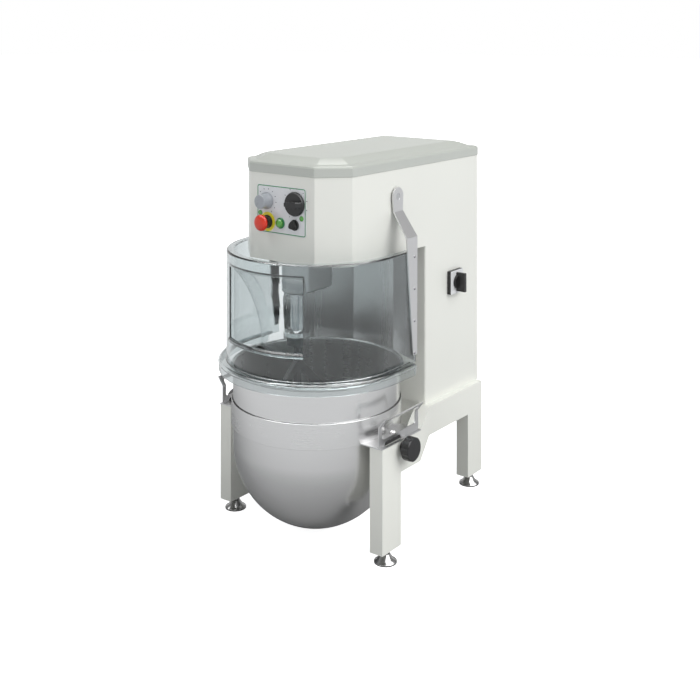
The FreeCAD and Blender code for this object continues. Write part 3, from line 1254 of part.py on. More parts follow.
# ================================================================ guard
def guard_section():
    """Return the guard's wall section at the right-hand side, as a face in the XZ plane."""
    outer, inner = GUARD_RADIUS, GUARD_RADIUS - GUARD_WALL
    bead_in = SKIRT_RADIUS - GUARD_WALL
    skirt_out = SKIRT_RADIUS - SKIRT_STEP
    skirt_in = skirt_out - GUARD_WALL
    under = SHOULDER_Z - GUARD_WALL
    cove, bend = SHOULDER_COVE, SHOULDER_ROUND
    bead_z = SHOULDER_Z - bend
    step_z = bead_z - SKIRT_STEP_DROP
    inner_bend = bend - GUARD_WALL
    flange_in = outer - GUARD_FLANGE

    def at(x, z):
        return Vec(x, 0, z)

    def arc(cx, cz, radius, start, stop):
        middle = (start + stop) / 2
        return Part.Arc(*[at(cx + radius * math.cos(math.radians(a)), cz + radius * math.sin(math.radians(a)))
                          for a in (start, middle, stop)]).toShape()

    def line(x0, z0, x1, z1):
        return Part.LineSegment(at(x0, z0), at(x1, z1)).toShape()

    edges = [
        line(flange_in, GUARD_TOP, outer - TOP_ROUND, GUARD_TOP),
        arc(outer - TOP_ROUND, GUARD_TOP - TOP_ROUND, TOP_ROUND, 90, 0),
        line(outer, GUARD_TOP - TOP_ROUND, outer, SHOULDER_Z + cove),
        arc(outer + cove, SHOULDER_Z + cove, cove, 180, 270),
        line(outer + cove, SHOULDER_Z, SKIRT_RADIUS - bend, SHOULDER_Z),
        arc(SKIRT_RADIUS - bend, bead_z, bend, 90, 0),
        line(SKIRT_RADIUS, bead_z, skirt_out, step_z),
        line(skirt_out, step_z, skirt_out, SKIRT_BOTTOM),
        line(skirt_out, SKIRT_BOTTOM, skirt_in, SKIRT_BOTTOM),
        line(skirt_in, SKIRT_BOTTOM, skirt_in, step_z),
        line(skirt_in, step_z, bead_in, bead_z),
        arc(bead_in - inner_bend, bead_z, inner_bend, 0, 90),
        line(bead_in - inner_bend, under, inner, under),
        line(inner, under, inner, GUARD_TOP - GUARD_WALL),
        line(inner, GUARD_TOP - GUARD_WALL, flange_in, GUARD_TOP - GUARD_WALL),
        line(flange_in, GUARD_TOP - GUARD_WALL, flange_in, GUARD_TOP),
    ]
    return Part.Face(Part.Wire(edges))


def chute_sector(outer, inner, z0, z1, half_angle):
    """Return the block between two radii across the chute's angle, centred on the front."""
    outline = [(inner, z0), (outer, z0), (outer, z1), (inner, z1)]
    block = revolve(outline, 2 * half_angle)
    return turned(block, Z_AXIS, -90 - half_angle)


def rivet_places():
    """Return the (y, z) places of one arm's rivets."""
    return [(RIVET_Y, RIVET_TOP_Z - RIVET_PITCH * i) for i in range(RIVET_COUNT)]


def rivet_bores():
    """Return the bores of all the rivets, through both side walls."""
    reach = GUARD_RADIUS + 3 * ARM_SHEET
    return [rod_x(RIVET_RADIUS + FIT_CLEARANCE, -reach, reach, y, z) for y, z in rivet_places()]


def guard_shell():
    """Clear moulded guard: round front, straight sides, top flange and skirt over the bowl."""
    section = guard_section()
    front = turned(section, Z_AXIS, 180).revolve(AXIS_POINT, Z_AXIS, 180)
    wall = section.extrude(Vec(0, GUARD_BACK, 0))
    trim = box(GUARD_RADIUS + 0.01, SKIRT_RADIUS + 1, SKIRT_REAR, GUARD_BACK + 1,
               SKIRT_BOTTOM - 1, SHOULDER_Z + 20)
    wall = wall.cut(trim)
    shell = fuse([front, wall, mirror_x(wall)])
    window = chute_sector(GUARD_RADIUS + 5, GUARD_RADIUS - 3 * GUARD_WALL,
                          CHUTE_SILL, CHUTE_TOP, CHUTE_HALF_ANGLE)
    return shell.cut([window] + rivet_bores())


def chute_curve(offset):
    """Return the baffle's curve from the wall down to the throat, as (radius, z) points."""
    radius = CHUTE_CURVE - offset
    centre_r = CHUTE_THROAT + CHUTE_CURVE
    wall_r = GUARD_RADIUS - GUARD_WALL
    top = math.acos((centre_r - wall_r) / radius)
    angles = [top * i / 2 for i in range(3)]
    low_z = CHUTE_BOTTOM
    return [(centre_r - radius * math.cos(a), low_z + radius * math.sin(a)) for a in angles]


def guard_chute():
    """Filling chute: curved baffle, two cheeks and a rounded sill, bonded into the guard."""
    front_curve = chute_curve(0)
    back_curve = chute_curve(-CHUTE_WALL)

    def at(point):
        return Vec(point[0], 0, point[1])

    edges = [Part.Arc(*[at(p) for p in front_curve]).toShape(),
             Part.LineSegment(at(front_curve[2]), at(back_curve[2])).toShape(),
             Part.Arc(*[at(p) for p in reversed(back_curve)]).toShape(),
             Part.LineSegment(at(back_curve[0]), at(front_curve[0])).toShape()]
    baffle = Part.Face(Part.Wire(edges)).revolve(AXIS_POINT, Z_AXIS, 2 * CHUTE_HALF_ANGLE)
    baffle = turned(baffle, Z_AXIS, -90 - CHUTE_HALF_ANGLE)
    wall_r = GUARD_RADIUS - GUARD_WALL
    low = (wall_r, CHUTE_SILL - LIP_RADIUS)
    cheek_edges = [Part.Arc(*[at(p) for p in back_curve]).toShape(),
                   Part.LineSegment(at(back_curve[2]), at(low)).toShape(),
                   Part.LineSegment(at(low), at(back_curve[0])).toShape()]
    cheek = Part.Face(Part.Wire(cheek_edges)).extrude(Vec(0, CHUTE_WALL, 0))
    right = turned(cheek, Z_AXIS, -90 + CHUTE_HALF_ANGLE)
    corners = [math.radians(22.5 + 45 * i) for i in range(8)]
    middle = GUARD_RADIUS - GUARD_WALL / 2
    roll = [(middle + LIP_RADIUS * math.cos(a), CHUTE_SILL + LIP_RADIUS * math.sin(a)) for a in corners]
    sill = turned(revolve(roll, 2 * CHUTE_HALF_ANGLE), Z_AXIS, -90 - CHUTE_HALF_ANGLE)
    return baffle.fuse([right, mirror_x(right), sill]).removeSplitter().cut(guard_shell())


def guard_arm(side):
    """Cranked strap from the head's side to the guard's rear edge."""
    near = ARM_INNER_X
    far = GUARD_RADIUS
    levels = [(near, PIVOT_Y - ARM_END_RADIUS, PIVOT_Y + ARM_END_RADIUS, PIVOT_Z),
              (near, ARM_UPPER_FRONT, ARM_UPPER_REAR, ARM_BEND_TOP_Z),
              (far, ARM_ELBOW_FRONT, ARM_ELBOW_REAR, ARM_BEND_LOW_Z),
              (far, ARM_FOOT_FRONT, ARM_FOOT_REAR, ARM_FOOT_Z)]
    sections = []
    for x, y0, y1, z in levels:
        corners = [Vec(x, y0, z), Vec(x + ARM_SHEET, y0, z), Vec(x + ARM_SHEET, y1, z), Vec(x, y1, z)]
        sections.append(polygon(corners))
    strap = Part.makeLoft(sections, True, True)
    end = rod_x(ARM_END_RADIUS, near, near + ARM_SHEET, PIVOT_Y, PIVOT_Z)
    bore = rod_x(PIVOT_SHAFT_RADIUS + FIT_CLEARANCE, 0, near + 20, PIVOT_Y, PIVOT_Z)
    return on_side(strap.fuse(end).removeSplitter().cut([bore] + rivet_bores()), side)


def guard_rivets():
    """Low-headed rivets through the arms and the clear wall."""
    inner = GUARD_RADIUS - GUARD_WALL
    outer = GUARD_RADIUS + ARM_SHEET
    head = Part.makeCone(RIVET_HEAD_RADIUS, RIVET_HEAD_RADIUS * 0.6, RIVET_HEAD)
    rivets = []
    for y, z in rivet_places():
        shank = rod_x(RIVET_RADIUS, inner, outer, y, z)
        near = turned(head, Y_AXIS, -90)
        near.translate(Vec(inner, y, z))
        rivet = fuse([shank, along_x(head, outer, y, z), near])
        rivets += [rivet, mirror_x(rivet)]
    return Part.makeCompound(rivets)


def pivot_shaft():
    """Cross shaft through the head that joins the two guard arms, with a nut at each end."""
    end = ARM_INNER_X + ARM_SHEET
    shaft = rod_x(PIVOT_SHAFT_RADIUS, -end, end, PIVOT_Y, PIVOT_Z)
    nut = along_x(hexagon(SHAFT_NUT_FLATS, 0, SHAFT_NUT), end, PIVOT_Y, PIVOT_Z)
    return fuse([shaft, nut, mirror_x(nut)])


def pivot_bushes():
    """Flanged bushes of the cross shaft in the head's side walls."""
    outer = HALF_WIDTH + ARM_STANDOFF - LIP_GAP
    body = rod_x(BUSH_RADIUS, HALF_WIDTH - BUSH_LENGTH, outer, PIVOT_Y, PIVOT_Z)
    flange = rod_x(BUSH_FLANGE_RADIUS, HALF_WIDTH, outer, PIVOT_Y, PIVOT_Z)
    bore = rod_x(PIVOT_SHAFT_RADIUS + RUNNING_CLEARANCE, 0, outer + 1, PIVOT_Y, PIVOT_Z)
    bush = fuse([body, flange]).cut(bore)
    return Part.makeCompound([bush, mirror_x(bush)])


# ================================================================ control panel
def control_panel():
    """Rounded plate on the head's front face, drilled for the controls."""
    half = PANEL_WIDTH / 2
    wire = rounded_wire([(-half, PANEL_BOTTOM), (half, PANEL_BOTTOM), (half, PANEL_TOP), (-half, PANEL_TOP)],
                        [PANEL_ROUND] * 4, 0)
    plate = Part.Face(wire).extrude(Vec(0, 0, PANEL_SHEET))
    plate.rotate(AXIS_POINT, X_AXIS, 90)
    plate.translate(Vec(0, -HEAD_FRONT, 0))
    return plate.cut(control_holes(PANEL_FACE - 1, -HEAD_FRONT + 1))


def spindle(length):
    """Return a control's spindle, drawn about +Z from behind the housing wall to z = 0 and on."""
    return rod(SPINDLE_RADIUS, -PANEL_SHEET - SHEET, length)


def speed_knob():
    """Stepped knob of the speed control: flared skirt, step and long cap with a pointer groove."""
    r, cap, length = SPEED_KNOB_RADIUS, SPEED_CAP_RADIUS, SPEED_KNOB_LENGTH
    gap = KNOB_STANDOFF
    body = revolve([(0, gap), (r, gap), (r, gap + 5), (r - 2.0, gap + 10), (cap + 0.5, gap + 12),
                    (cap, length - 1.5), (cap - 1.5, length), (0, length)])
    groove = box(-0.8, 0.8, cap * 0.35, cap + 1, length - 1.2, length + 1)
    knob = fuse([body, spindle(gap)]).cut(turned(groove, Z_AXIS, SPEED_POINTER))
    return along_y(knob, SPEED_X, PANEL_FACE, UPPER_ROW_Z)


def timer_knob():
    """Round black knob with a raised bar grip."""
    r, disc, grip = TIMER_KNOB_RADIUS, TIMER_DISC, TIMER_GRIP
    gap = KNOB_STANDOFF
    body = revolve([(0, gap), (r, gap), (r, gap + 4), (r - 2, disc), (0, disc)])
    top = disc + grip
    bar = rounded_wire([(-r + 3, -5), (r - 3, -7.5), (r - 3, 7.5), (-r + 3, 5)], [3.0] * 4, disc - 1)
    crown = rounded_wire([(-r + 6, -3.5), (r - 6, -5.5), (r - 6, 5.5), (-r + 6, 3.5)], [3.0] * 4, top)
    handle = Part.makeLoft([bar, crown], True, True)
    knob = fuse([body, handle, spindle(gap)])
    return along_y(knob, TIMER_X, PANEL_FACE, UPPER_ROW_Z)


def estop_disc():
    """Yellow disc behind the emergency stop."""
    disc = ring(ESTOP_DISC_RADIUS, PLUNGER_RADIUS + PLUNGER_CLEARANCE, 0, ESTOP_DISC)
    return along_y(disc, ESTOP_X, PANEL_FACE, LOWER_ROW_Z)


def estop_collar():
    """Black collar between the disc and the red mushroom."""
    bore = PLUNGER_RADIUS + RUNNING_CLEARANCE
    top = ESTOP_DISC + ESTOP_COLLAR
    collar = revolve([(bore, ESTOP_DISC), (ESTOP_COLLAR_RADIUS + 2, ESTOP_DISC),
                      (ESTOP_COLLAR_RADIUS + 2, ESTOP_DISC + 3), (ESTOP_COLLAR_RADIUS, ESTOP_DISC + 4),
                      (ESTOP_COLLAR_RADIUS, top), (bore, top)])
    return along_y(collar, ESTOP_X, PANEL_FACE, LOWER_ROW_Z)


def estop_button():
    """Red mushroom button with its plunger."""
    seat = ESTOP_DISC + ESTOP_COLLAR + ESTOP_TRAVEL + PRESS_GAP
    top = seat + ESTOP_HEAD
    r = ESTOP_RADIUS
    head = revolve([(0, seat), (r - 5, seat), (r, seat + 5), (r - 1, seat + 10), (r - 5, top - 2),
                    (r - 12, top), (0, top)])
    stem = rod(PLUNGER_RADIUS, -PANEL_SHEET - SHEET, seat)
    return along_y(fuse([head, stem]), ESTOP_X, PANEL_FACE, LOWER_ROW_Z)


def button_bezels():
    """Threaded bezels of the start and jog buttons."""
    bore, well = PLUNGER_RADIUS + PLUNGER_CLEARANCE, BUTTON_RADIUS + LIP_GAP
    bezel = revolve([(bore, 0), (BUTTON_BEZEL_RADIUS, 0), (BUTTON_BEZEL_RADIUS, BEZEL_HEIGHT - 1.2),
                     (BUTTON_BEZEL_RADIUS - 1.2, BEZEL_HEIGHT), (well, BEZEL_HEIGHT), (well, BEZEL_FLOOR),
                     (bore, BEZEL_FLOOR)])
    return Part.makeCompound([along_y(bezel, x, PANEL_FACE, LOWER_ROW_Z) for x in (START_X, JOG_X)])


def start_button():
    """Domed green push-button."""
    base = BEZEL_FLOOR + PRESS_GAP + BUTTON_TRAVEL
    r = BUTTON_RADIUS
    cap = revolve([(0, base), (r, base), (r, base + 2), (r * 0.86, base + 4.4), (r * 0.55, base + 6.4),
                   (r * 0.2, base + 7.2), (0, base + 7.3)])
    stem = rod(PLUNGER_RADIUS, -PANEL_SHEET - SHEET, base)
    return along_y(fuse([cap, stem]), START_X, PANEL_FACE, LOWER_ROW_Z)


def jog_button():
    """Three-lobed black boot of the jog button, its lobes clear of the bezel when it is pressed."""
    base = BEZEL_HEIGHT + PRESS_GAP + BUTTON_TRAVEL
    lobe = BUTTON_RADIUS * 0.62
    reach = BUTTON_RADIUS + 1.5 - lobe
    core = rod(BUTTON_RADIUS * 0.8, base, base + JOG_HEAD)
    lobes = []
    for i in range(3):
        angle = math.radians(90 + 120 * i)
        foot = Vec(reach * math.cos(angle), reach * math.sin(angle), base)
        lobes.append(Part.makeCone(lobe, lobe * 0.8, JOG_HEAD - 0.5, foot))
    stem = rod(PLUNGER_RADIUS, -PANEL_SHEET - SHEET, base)
    return along_y(core.fuse(lobes + [stem]).removeSplitter(), JOG_X, PANEL_FACE, LOWER_ROW_Z)


def indicator_lamps():
    """Two small green lenses flush in the panel."""
    lens = revolve([(0, -PANEL_SHEET - SHEET - 4), (LAMP_RADIUS, -PANEL_SHEET - SHEET - 4), (LAMP_RADIUS, 0),
                    (LAMP_RADIUS + 1, 0), (LAMP_RADIUS + 1, 0.8), (LAMP_RADIUS * 0.5, 2.0), (0, 2.2)])
    return Part.makeCompound([along_y(lens, x, PANEL_FACE, z) for x, z in LAMPS])


def control_blocks():
    """Potentiometer, timer and contact blocks behind the panel."""
    front = -HEAD_FRONT + SHEET
    blocks = []
    for x, z, half in ((SPEED_X, UPPER_ROW_Z, POT_HALF), (TIMER_X, UPPER_ROW_Z, TIMER_HALF),
                       (ESTOP_X, LOWER_ROW_Z, CONTACT_HALF), (START_X, LOWER_ROW_Z, CONTACT_HALF),
                       (JOG_X, LOWER_ROW_Z, CONTACT_HALF)):
        block = box(x - half, x + half, front, front + BLOCK_DEPTH, z - half, z + half)
        if z == LOWER_ROW_Z:
            block = block.cut(rod_y(PLUNGER_RADIUS + PLUNGER_CLEARANCE, front - 1,
                                    front + ESTOP_TRAVEL + PRESS_GAP, x, z))
        else:
            block = block.cut(rod_y(SPINDLE_RADIUS + PLUNGER_CLEARANCE, front - 1, front + 2, x, z))
        blocks.append(block)
    return Part.makeCompound(blocks)


# ================================================================ main switch
def main_switch_plate():
    """Square base of the main switch on the column's side."""
    half = SWITCH_PLATE / 2
    wire = rounded_wire([(-half, -half), (half, -half), (half, half), (-half, half)], [3.0] * 4, 0)
    base = Part.Face(wire).extrude(Vec(0, 0, SWITCH_BASE))
    base = base.cut(rod(SWITCH_BORE, -1, SWITCH_BASE + 1))
    return along_x(base, HALF_WIDTH, SWITCH_Y, SWITCH_Z)


def main_switch_handle():
    """Rotary handle: round hub and upright bar, with its spindle."""
    gap = KNOB_STANDOFF
    hub = revolve([(0, gap), (SWITCH_HUB_RADIUS, gap), (SWITCH_HUB_RADIUS, gap + SWITCH_HUB - 1),
                   (SWITCH_HUB_RADIUS - 1, gap + SWITCH_HUB), (0, gap + SWITCH_HUB)])
    half = SWITCH_BAR_LENGTH / 2
    width = SWITCH_BAR_WIDTH / 2
    foot = rounded_wire([(-half, -width), (half, -width), (half, width), (-half, width)], [2.5] * 4, gap)
    bar = Part.Face(foot).extrude(Vec(0, 0, SWITCH_HUB + SWITCH_BAR_HEIGHT))
    stem = rod(SWITCH_SPINDLE, -SWITCH_BASE - SHEET, gap)
    return along_x(fuse([hub, bar, stem]), HALF_WIDTH + SWITCH_BASE, SWITCH_Y, SWITCH_Z)


def main_switch_body():
    """Switch block inside the column."""
    half = SWITCH_PLATE / 2 - 6
    face = HALF_WIDTH - SHEET
    body = box(face - SWITCH_BODY, face, SWITCH_Y - half, SWITCH_Y + half, SWITCH_Z - half, SWITCH_Z + half)
    return body.cut(rod_x(SWITCH_BORE, face - 2, face + 1, SWITCH_Y, SWITCH_Z))


# ================================================================ the assembly
def parts():
    """Return every node's name and shape."""
    pieces = {
        "housing_shell": housing_shell(), "top_lid": top_lid(), "rear_cover": rear_cover(),
        "cover_screws": cover_screws(), "splash_shield": splash_shield(), "cable_gland": cable_gland(),
        "cross_beams": cross_beams(), "levelling_feet": levelling_feet(), "foot_nuts": foot_nuts(),
        "mixing_bowl": mixing_bowl(), "bowl_band": bowl_band(), "bracket_pads": bracket_pads(),
        "locating_studs": locating_studs(), "ring_gear": ring_gear(), "planet_pinion": planet_pinion(),
        "planet_carrier": planet_carrier(), "tool_bearings": tool_bearings(),
        "main_bearings": main_bearings(), "bearing_housing": bearing_housing(),
        "bearing_plate": bearing_plate(), "main_shaft": main_shaft(), "main_pulley": main_pulley(),
        "motor_pulley": motor_pulley(), "motor_shaft": motor_shaft(), "drive_belt": drive_belt(),
        "drive_motor": drive_motor(), "motor_plate": motor_plate(), "inverter_box": inverter_box(),
        "tool_shaft": tool_shaft(), "locking_collar": locking_collar(),
        "flat_beater": flat_beater(), "guard_shell": guard_shell(), "guard_chute": guard_chute(),
        "guard_rivets": guard_rivets(), "pivot_shaft": pivot_shaft(), "pivot_bushes": pivot_bushes(),
        "control_panel": control_panel(), "speed_knob": speed_knob(), "timer_knob": timer_knob(),
        "estop_disc": estop_disc(), "estop_collar": estop_collar(), "estop_button": estop_button(),
        "button_bezels": button_bezels(), "start_button": start_button(), "jog_button": jog_button(),
        "indicator_lamps": indicator_lamps(), "control_blocks": control_blocks(),
        "main_switch_plate": main_switch_plate(), "main_switch_handle": main_switch_handle(),
        "main_switch_body": main_switch_body(),
    }
    for name, side in SIDES.items():
        pieces["side_beam_" + name] = side_beam(side)
        pieces["bowl_bracket_" + name] = bowl_bracket(side)
        pieces["guard_arm_" + name] = guard_arm(side)
        pieces["clamp_knob_" + name] = clamp_knob(side)
    pieces["front_legs"] = Part.makeCompound([front_leg(side) for side in SIDES.values()])
    pieces["rear_legs"] = Part.makeCompound([rear_leg(side) for side in SIDES.values()])
    return pieces


def export(name, shape):
    """Move a piece into the machine's own frame and write it."""
    placed = shape.copy()
    placed.translate(Vec(0, AXIS_Y, 0))
    if len(placed.Solids) == 1:
        placed = placed.Solids[0]
    placed.exportStep("parts/" + name + ".step")


os.makedirs("parts", exist_ok=True)
for node, solid in parts().items():
    export(node, solid)
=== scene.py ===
"""Looks, light and camera for a planetary stand mixer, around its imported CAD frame.

Everything is in metres, in the frame's own axes: +X to the machine's right, +Y to its back, +Z up.
"""
from __future__ import annotations

import logging
import math
from dataclasses import dataclass, field
from enum import Enum
from typing import Any, Iterable, Sequence

import bmesh
import bpy
from mathutils import Matrix, Vector

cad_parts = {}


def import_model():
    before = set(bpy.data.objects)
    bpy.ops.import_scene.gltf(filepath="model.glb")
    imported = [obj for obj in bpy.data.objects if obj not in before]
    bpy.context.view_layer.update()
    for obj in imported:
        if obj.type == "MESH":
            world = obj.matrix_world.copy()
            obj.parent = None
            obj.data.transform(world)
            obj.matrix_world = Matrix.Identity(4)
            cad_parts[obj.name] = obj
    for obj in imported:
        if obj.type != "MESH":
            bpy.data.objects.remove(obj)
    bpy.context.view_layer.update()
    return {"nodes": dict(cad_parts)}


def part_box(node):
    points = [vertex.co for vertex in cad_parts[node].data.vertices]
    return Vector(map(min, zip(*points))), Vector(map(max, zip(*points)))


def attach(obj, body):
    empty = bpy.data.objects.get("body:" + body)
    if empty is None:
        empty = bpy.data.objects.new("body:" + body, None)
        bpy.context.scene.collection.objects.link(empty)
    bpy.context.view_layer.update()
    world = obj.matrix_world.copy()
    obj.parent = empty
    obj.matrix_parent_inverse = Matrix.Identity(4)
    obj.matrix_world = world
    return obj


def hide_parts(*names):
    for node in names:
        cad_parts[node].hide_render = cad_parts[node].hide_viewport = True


LOG = logging.getLogger("mixer")
MM = 0.001
MERGE = 0.004 * MM
FLAT = math.radians(0.6)
BEVEL_FROM = math.radians(40.0)
Colour = tuple[float, float, float]
Point = tuple[float, float, float]
Spot = tuple[float, float]
Plan = Sequence[Spot]
Levels = tuple[float, float, float, float]


# ---------------------------------------------------------------------------- shader maths
class Value:
    """A shader socket that takes part in Python arithmetic."""

    def __init__(self, graph: "Graph", socket: bpy.types.NodeSocket) -> None:
        """Keep the socket and the graph that it belongs to."""
        self.graph = graph
        self.socket = socket

    def _maths(self, operation: str, first: Any, second: Any) -> "Value":
        """Return a Math node's result.

        Args:
            operation: the Math node's operation.
            first: its first operand, a number or a Value.
            second: its second operand.

        Returns:
            The result as a Value.
        """
        return self.graph.node("ShaderNodeMath", {"operation": operation}, {0: first, 1: second})

    def __add__(self, other: Any) -> "Value":
        """Add a number or a Value."""
        return self._maths("ADD", self, other)

    def __radd__(self, other: Any) -> "Value":
        """Add to a number."""
        return self._maths("ADD", other, self)

    def __sub__(self, other: Any) -> "Value":
        """Subtract a number or a Value."""
        return self._maths("SUBTRACT", self, other)

    def __rsub__(self, other: Any) -> "Value":
        """Subtract from a number."""
        return self._maths("SUBTRACT", other, self)

    def __mul__(self, other: Any) -> "Value":
        """Multiply by a number or a Value."""
        return self._maths("MULTIPLY", self, other)

    def __rmul__(self, other: Any) -> "Value":
        """Multiply a number."""
        return self._maths("MULTIPLY", other, self)

    def __pow__(self, other: Any) -> "Value":
        """Raise to a power."""
        return self._maths("POWER", self, other)

    def __gt__(self, other: Any) -> "Value":
        """Return 1 where this is the greater, else 0."""
        return self._maths("GREATER_THAN", self, other)


class Graph:
    """A shader node tree, to which every node is added by one method."""

    def __init__(self, owner: bpy.types.ID) -> None:
        """Empty the owner's node tree.

        Args:
            owner: a material or a world.
        """
        owner.use_nodes = True
        self.tree = owner.node_tree
        self.tree.nodes.clear()

    def node(self, kind: str, settings: dict[str, Any] | None = None,
             inputs: dict[Any, Any] | None = None, output: Any = 0) -> Value:
        """Add a node.

        Args:
            kind: the node's type.
            settings: its properties.
            inputs: numbers, colours or Values for its sockets, by name or index.
            output: the name or index of the socket to return.

        Returns:
            The chosen output.
        """
        made = self.tree.nodes.new(kind)
        for key, setting in (settings or {}).items():
            setattr(made, key, setting)
        for key, value in (inputs or {}).items():
            self.feed(made.inputs[key], value)
        return Value(self, made.outputs[output])

    def feed(self, socket: bpy.types.NodeSocket, value: Any) -> None:
        """Link a Value to a socket, or set a number or colour on it."""
        if isinstance(value, Value):
            self.tree.links.new(value.socket, socket)
        elif isinstance(value, tuple) and len(value) == 3 and len(socket.default_value) == 4:
            socket.default_value = (*value, 1.0)
        else:
            socket.default_value = value

    def show(self, kind: str, surface: Value) -> None:
        """Add an output node of a kind and link a shader to it."""
        self.feed(self.tree.nodes.new(kind).inputs["Surface"], surface)

    def coordinates(self, output: str) -> Value:
        """Return texture coordinates of one sort."""
        return self.node("ShaderNodeTexCoord", output=output)

    def vector(self, operation: str, first: Any, second: Any = (0.0, 0.0, 0.0),
               output: Any = 0) -> Value:
        """Return a Vector Math node's result."""
        return self.node("ShaderNodeVectorMath", {"operation": operation},
                         {0: first, 1: second}, output)

    def part(self, vector: Value, axis: str) -> Value:
        """Return one coordinate of a vector."""
        return self.node("ShaderNodeSeparateXYZ", None, {0: vector}, axis)

    def rise(self, value: Value, start: float, stop: float, low: float, high: float) -> Value:
        """Return a level that goes from low to high while a value goes from start to stop."""
        return self.node("ShaderNodeMapRange", None,
                         {"Value": value, "From Min": start, "From Max": stop,
                          "To Min": low, "To Max": high})


class Surface(Graph):
    """The node tree of one material, with a Principled shader at its end."""

    def __init__(self, name: str) -> None:
        """Make an empty material.

        Args:
            name: the material's name.
        """
        self.material = bpy.data.materials.new(name)
        super().__init__(self.material)
        self.shader = self.tree.nodes.new("ShaderNodeBsdfPrincipled")
        self.show("ShaderNodeOutputMaterial", Value(self, self.shader.outputs[0]))

    def set(self, **inputs: Any) -> None:
        """Feed the Principled shader; base_color stands for its Base Color socket, and so on."""
        for key, value in inputs.items():
            name = "IOR" if key == "ior" else key.replace("_", " ").title()
            self.feed(self.shader.inputs[name], value)

    def place(self, scale: Point = (1.0, 1.0, 1.0), centre: Point = (0.0, 0.0, 0.0)) -> Value:
        """Return Object coordinates about a centre, scaled along each axis."""
        moved = self.vector("SUBTRACT", self.coordinates("Object"), centre)
        return self.vector("MULTIPLY", moved, scale)

    def noise(self, vector: Value, scale: float, detail: float = 2.0,
              roughness: float = 0.5) -> Value:
        """Return a noise pattern's factor."""
        return self.node("ShaderNodeTexNoise", None, {"Vector": vector, "Scale": scale,
                                                      "Detail": detail, "Roughness": roughness})

    def blend(self, factor: Any, first: Any, second: Any) -> Value:
        """Mix two colours by a factor."""
        return self.node("ShaderNodeMix", {"data_type": "RGBA"},
                         {0: factor, 6: first, 7: second}, 2)

    def bump(self, height: Value, distance: float, strength: float = 1.0) -> None:
        """Drive the shader's normal from a height, in metres of depth."""
        normal = self.node("ShaderNodeBump", None,
                           {"Strength": strength, "Distance": distance, "Height": height})
        self.set(normal=normal)


def tinted(colour: Colour, factor: float) -> Colour:
    """Return a colour made lighter or darker by a factor."""
    return tuple(min(1.0, c * factor) for c in colour)


# ---------------------------------------------------------------------------- finishes
class Grain(Enum):
    """How a metal surface was worked."""

    SPUN = "spun"
    UPRIGHT = "upright"
    LEVEL = "level"
    POLISHED = "polished"
    CAST = "cast"


@dataclass(frozen=True)
class Enamel:
    """Stove enamel on sheet steel, with a faint orange-peel surface."""

    name: str
    colour: Colour
    roughness: float = 0.36
    peel_scale: float = 520.0
    cloud_scale: float = 3.5
    dust_scale: float = 46.0
    dust_above: float = 0.66

    def material(self) -> bpy.types.Material:
        """Build the material.

        Returns:
            The finished material.
        """
        g = Surface(self.name)
        peel = g.noise(g.place(), self.peel_scale, 2.0)
        cloud = g.noise(g.place(), self.cloud_scale, 3.0)
        low = g.part(g.place(), "Z")
        specks = g.noise(g.place(), self.dust_scale, 6.0, 0.7) > self.dust_above
        dust = specks * (0.25 - low * 0.2)
        shade = g.blend(cloud, tinted(self.colour, 0.97), tinted(self.colour, 1.02))
        g.set(base_color=g.blend(dust * 0.12, shade, tinted(self.colour, 0.7)),
              roughness=self.roughness + (cloud - 0.5) * 0.10 + (peel - 0.5) * 0.06,
              coat_weight=0.25, coat_roughness=0.12)
        g.bump(peel, 0.05 * MM, 0.35)
        return g.material


@dataclass(frozen=True)
class Steel:
    """Stainless steel or another bare metal, with the marks that its working leaves, and, where
    asked, upright streaks of painted reflection.
    """

    name: str
    colour: Colour
    roughness: float
    grain: Grain
    centre: Point = (0.0, 0.0, 0.0)
    depth: float = 0.01 * MM
    reflection_streaks: float = 0.0
    cloud_scale: float = 9.0
    turns: float = 260.0

    def material(self) -> bpy.types.Material:
        """Build the material.

        Returns:
            The finished material.
        """
        g = Surface(self.name)
        marks = self._marks(g)
        cloud = g.noise(g.place(centre=self.centre), self.cloud_scale, 4.0, 0.6)
        shade = g.blend(marks, tinted(self.colour, 0.98), tinted(self.colour, 1.015))
        roughness = self.roughness + (marks - 0.5) * 0.04 + (cloud - 0.5) * 0.04
        # Painted reflection: upright streaks darken the colour in bands, as reflections band
        # polished steel.
        if self.reflection_streaks:
            reflection_band = g.node("ShaderNodeClamp", None, {0: self._painted_reflection_bands(g)})
            shade = g.blend(reflection_band, tinted(self.colour, 1.0 - self.reflection_streaks), shade)
            roughness = roughness + (0.5 - reflection_band) * 0.04
        g.set(base_color=shade, metallic=1.0, roughness=roughness)
        g.bump(marks, self.depth, 0.2)
        return g.material

    def _painted_reflection_bands(self, g: Surface) -> Value:
        """Return soft upright light and dark streaks round the centre: painted reflection, standing
        for the bands that polished steel mirrors.
        """
        around = g.vector("NORMALIZE", g.place((1.0, 1.0, 0.0), self.centre))
        return (g.noise(around, 4.0, 1.0) - 0.35) * 3.3

    def _marks(self, g: Surface) -> Value:
        """Return the worked surface's pattern."""
        if self.grain is Grain.SPUN:
            coords = g.place(centre=self.centre)
            x, y, z = (g.part(coords, axis) for axis in "XYZ")
            radius = (x * x + y * y) ** 0.5
            around = g.node("ShaderNodeCombineXYZ", None,
                            {0: x * 3.0, 1: y * 3.0, 2: (z + radius * 0.7) * self.turns})
            return g.noise(around, 1.0, 3.0, 0.65)
        scales = {Grain.UPRIGHT: (420.0, 420.0, 4.0), Grain.LEVEL: (14.0, 14.0, 800.0),
                  Grain.POLISHED: (60.0, 60.0, 60.0), Grain.CAST: (500.0, 500.0, 500.0)}
        return g.noise(g.place(scales[self.grain], self.centre), 1.0, 3.0, 0.6)


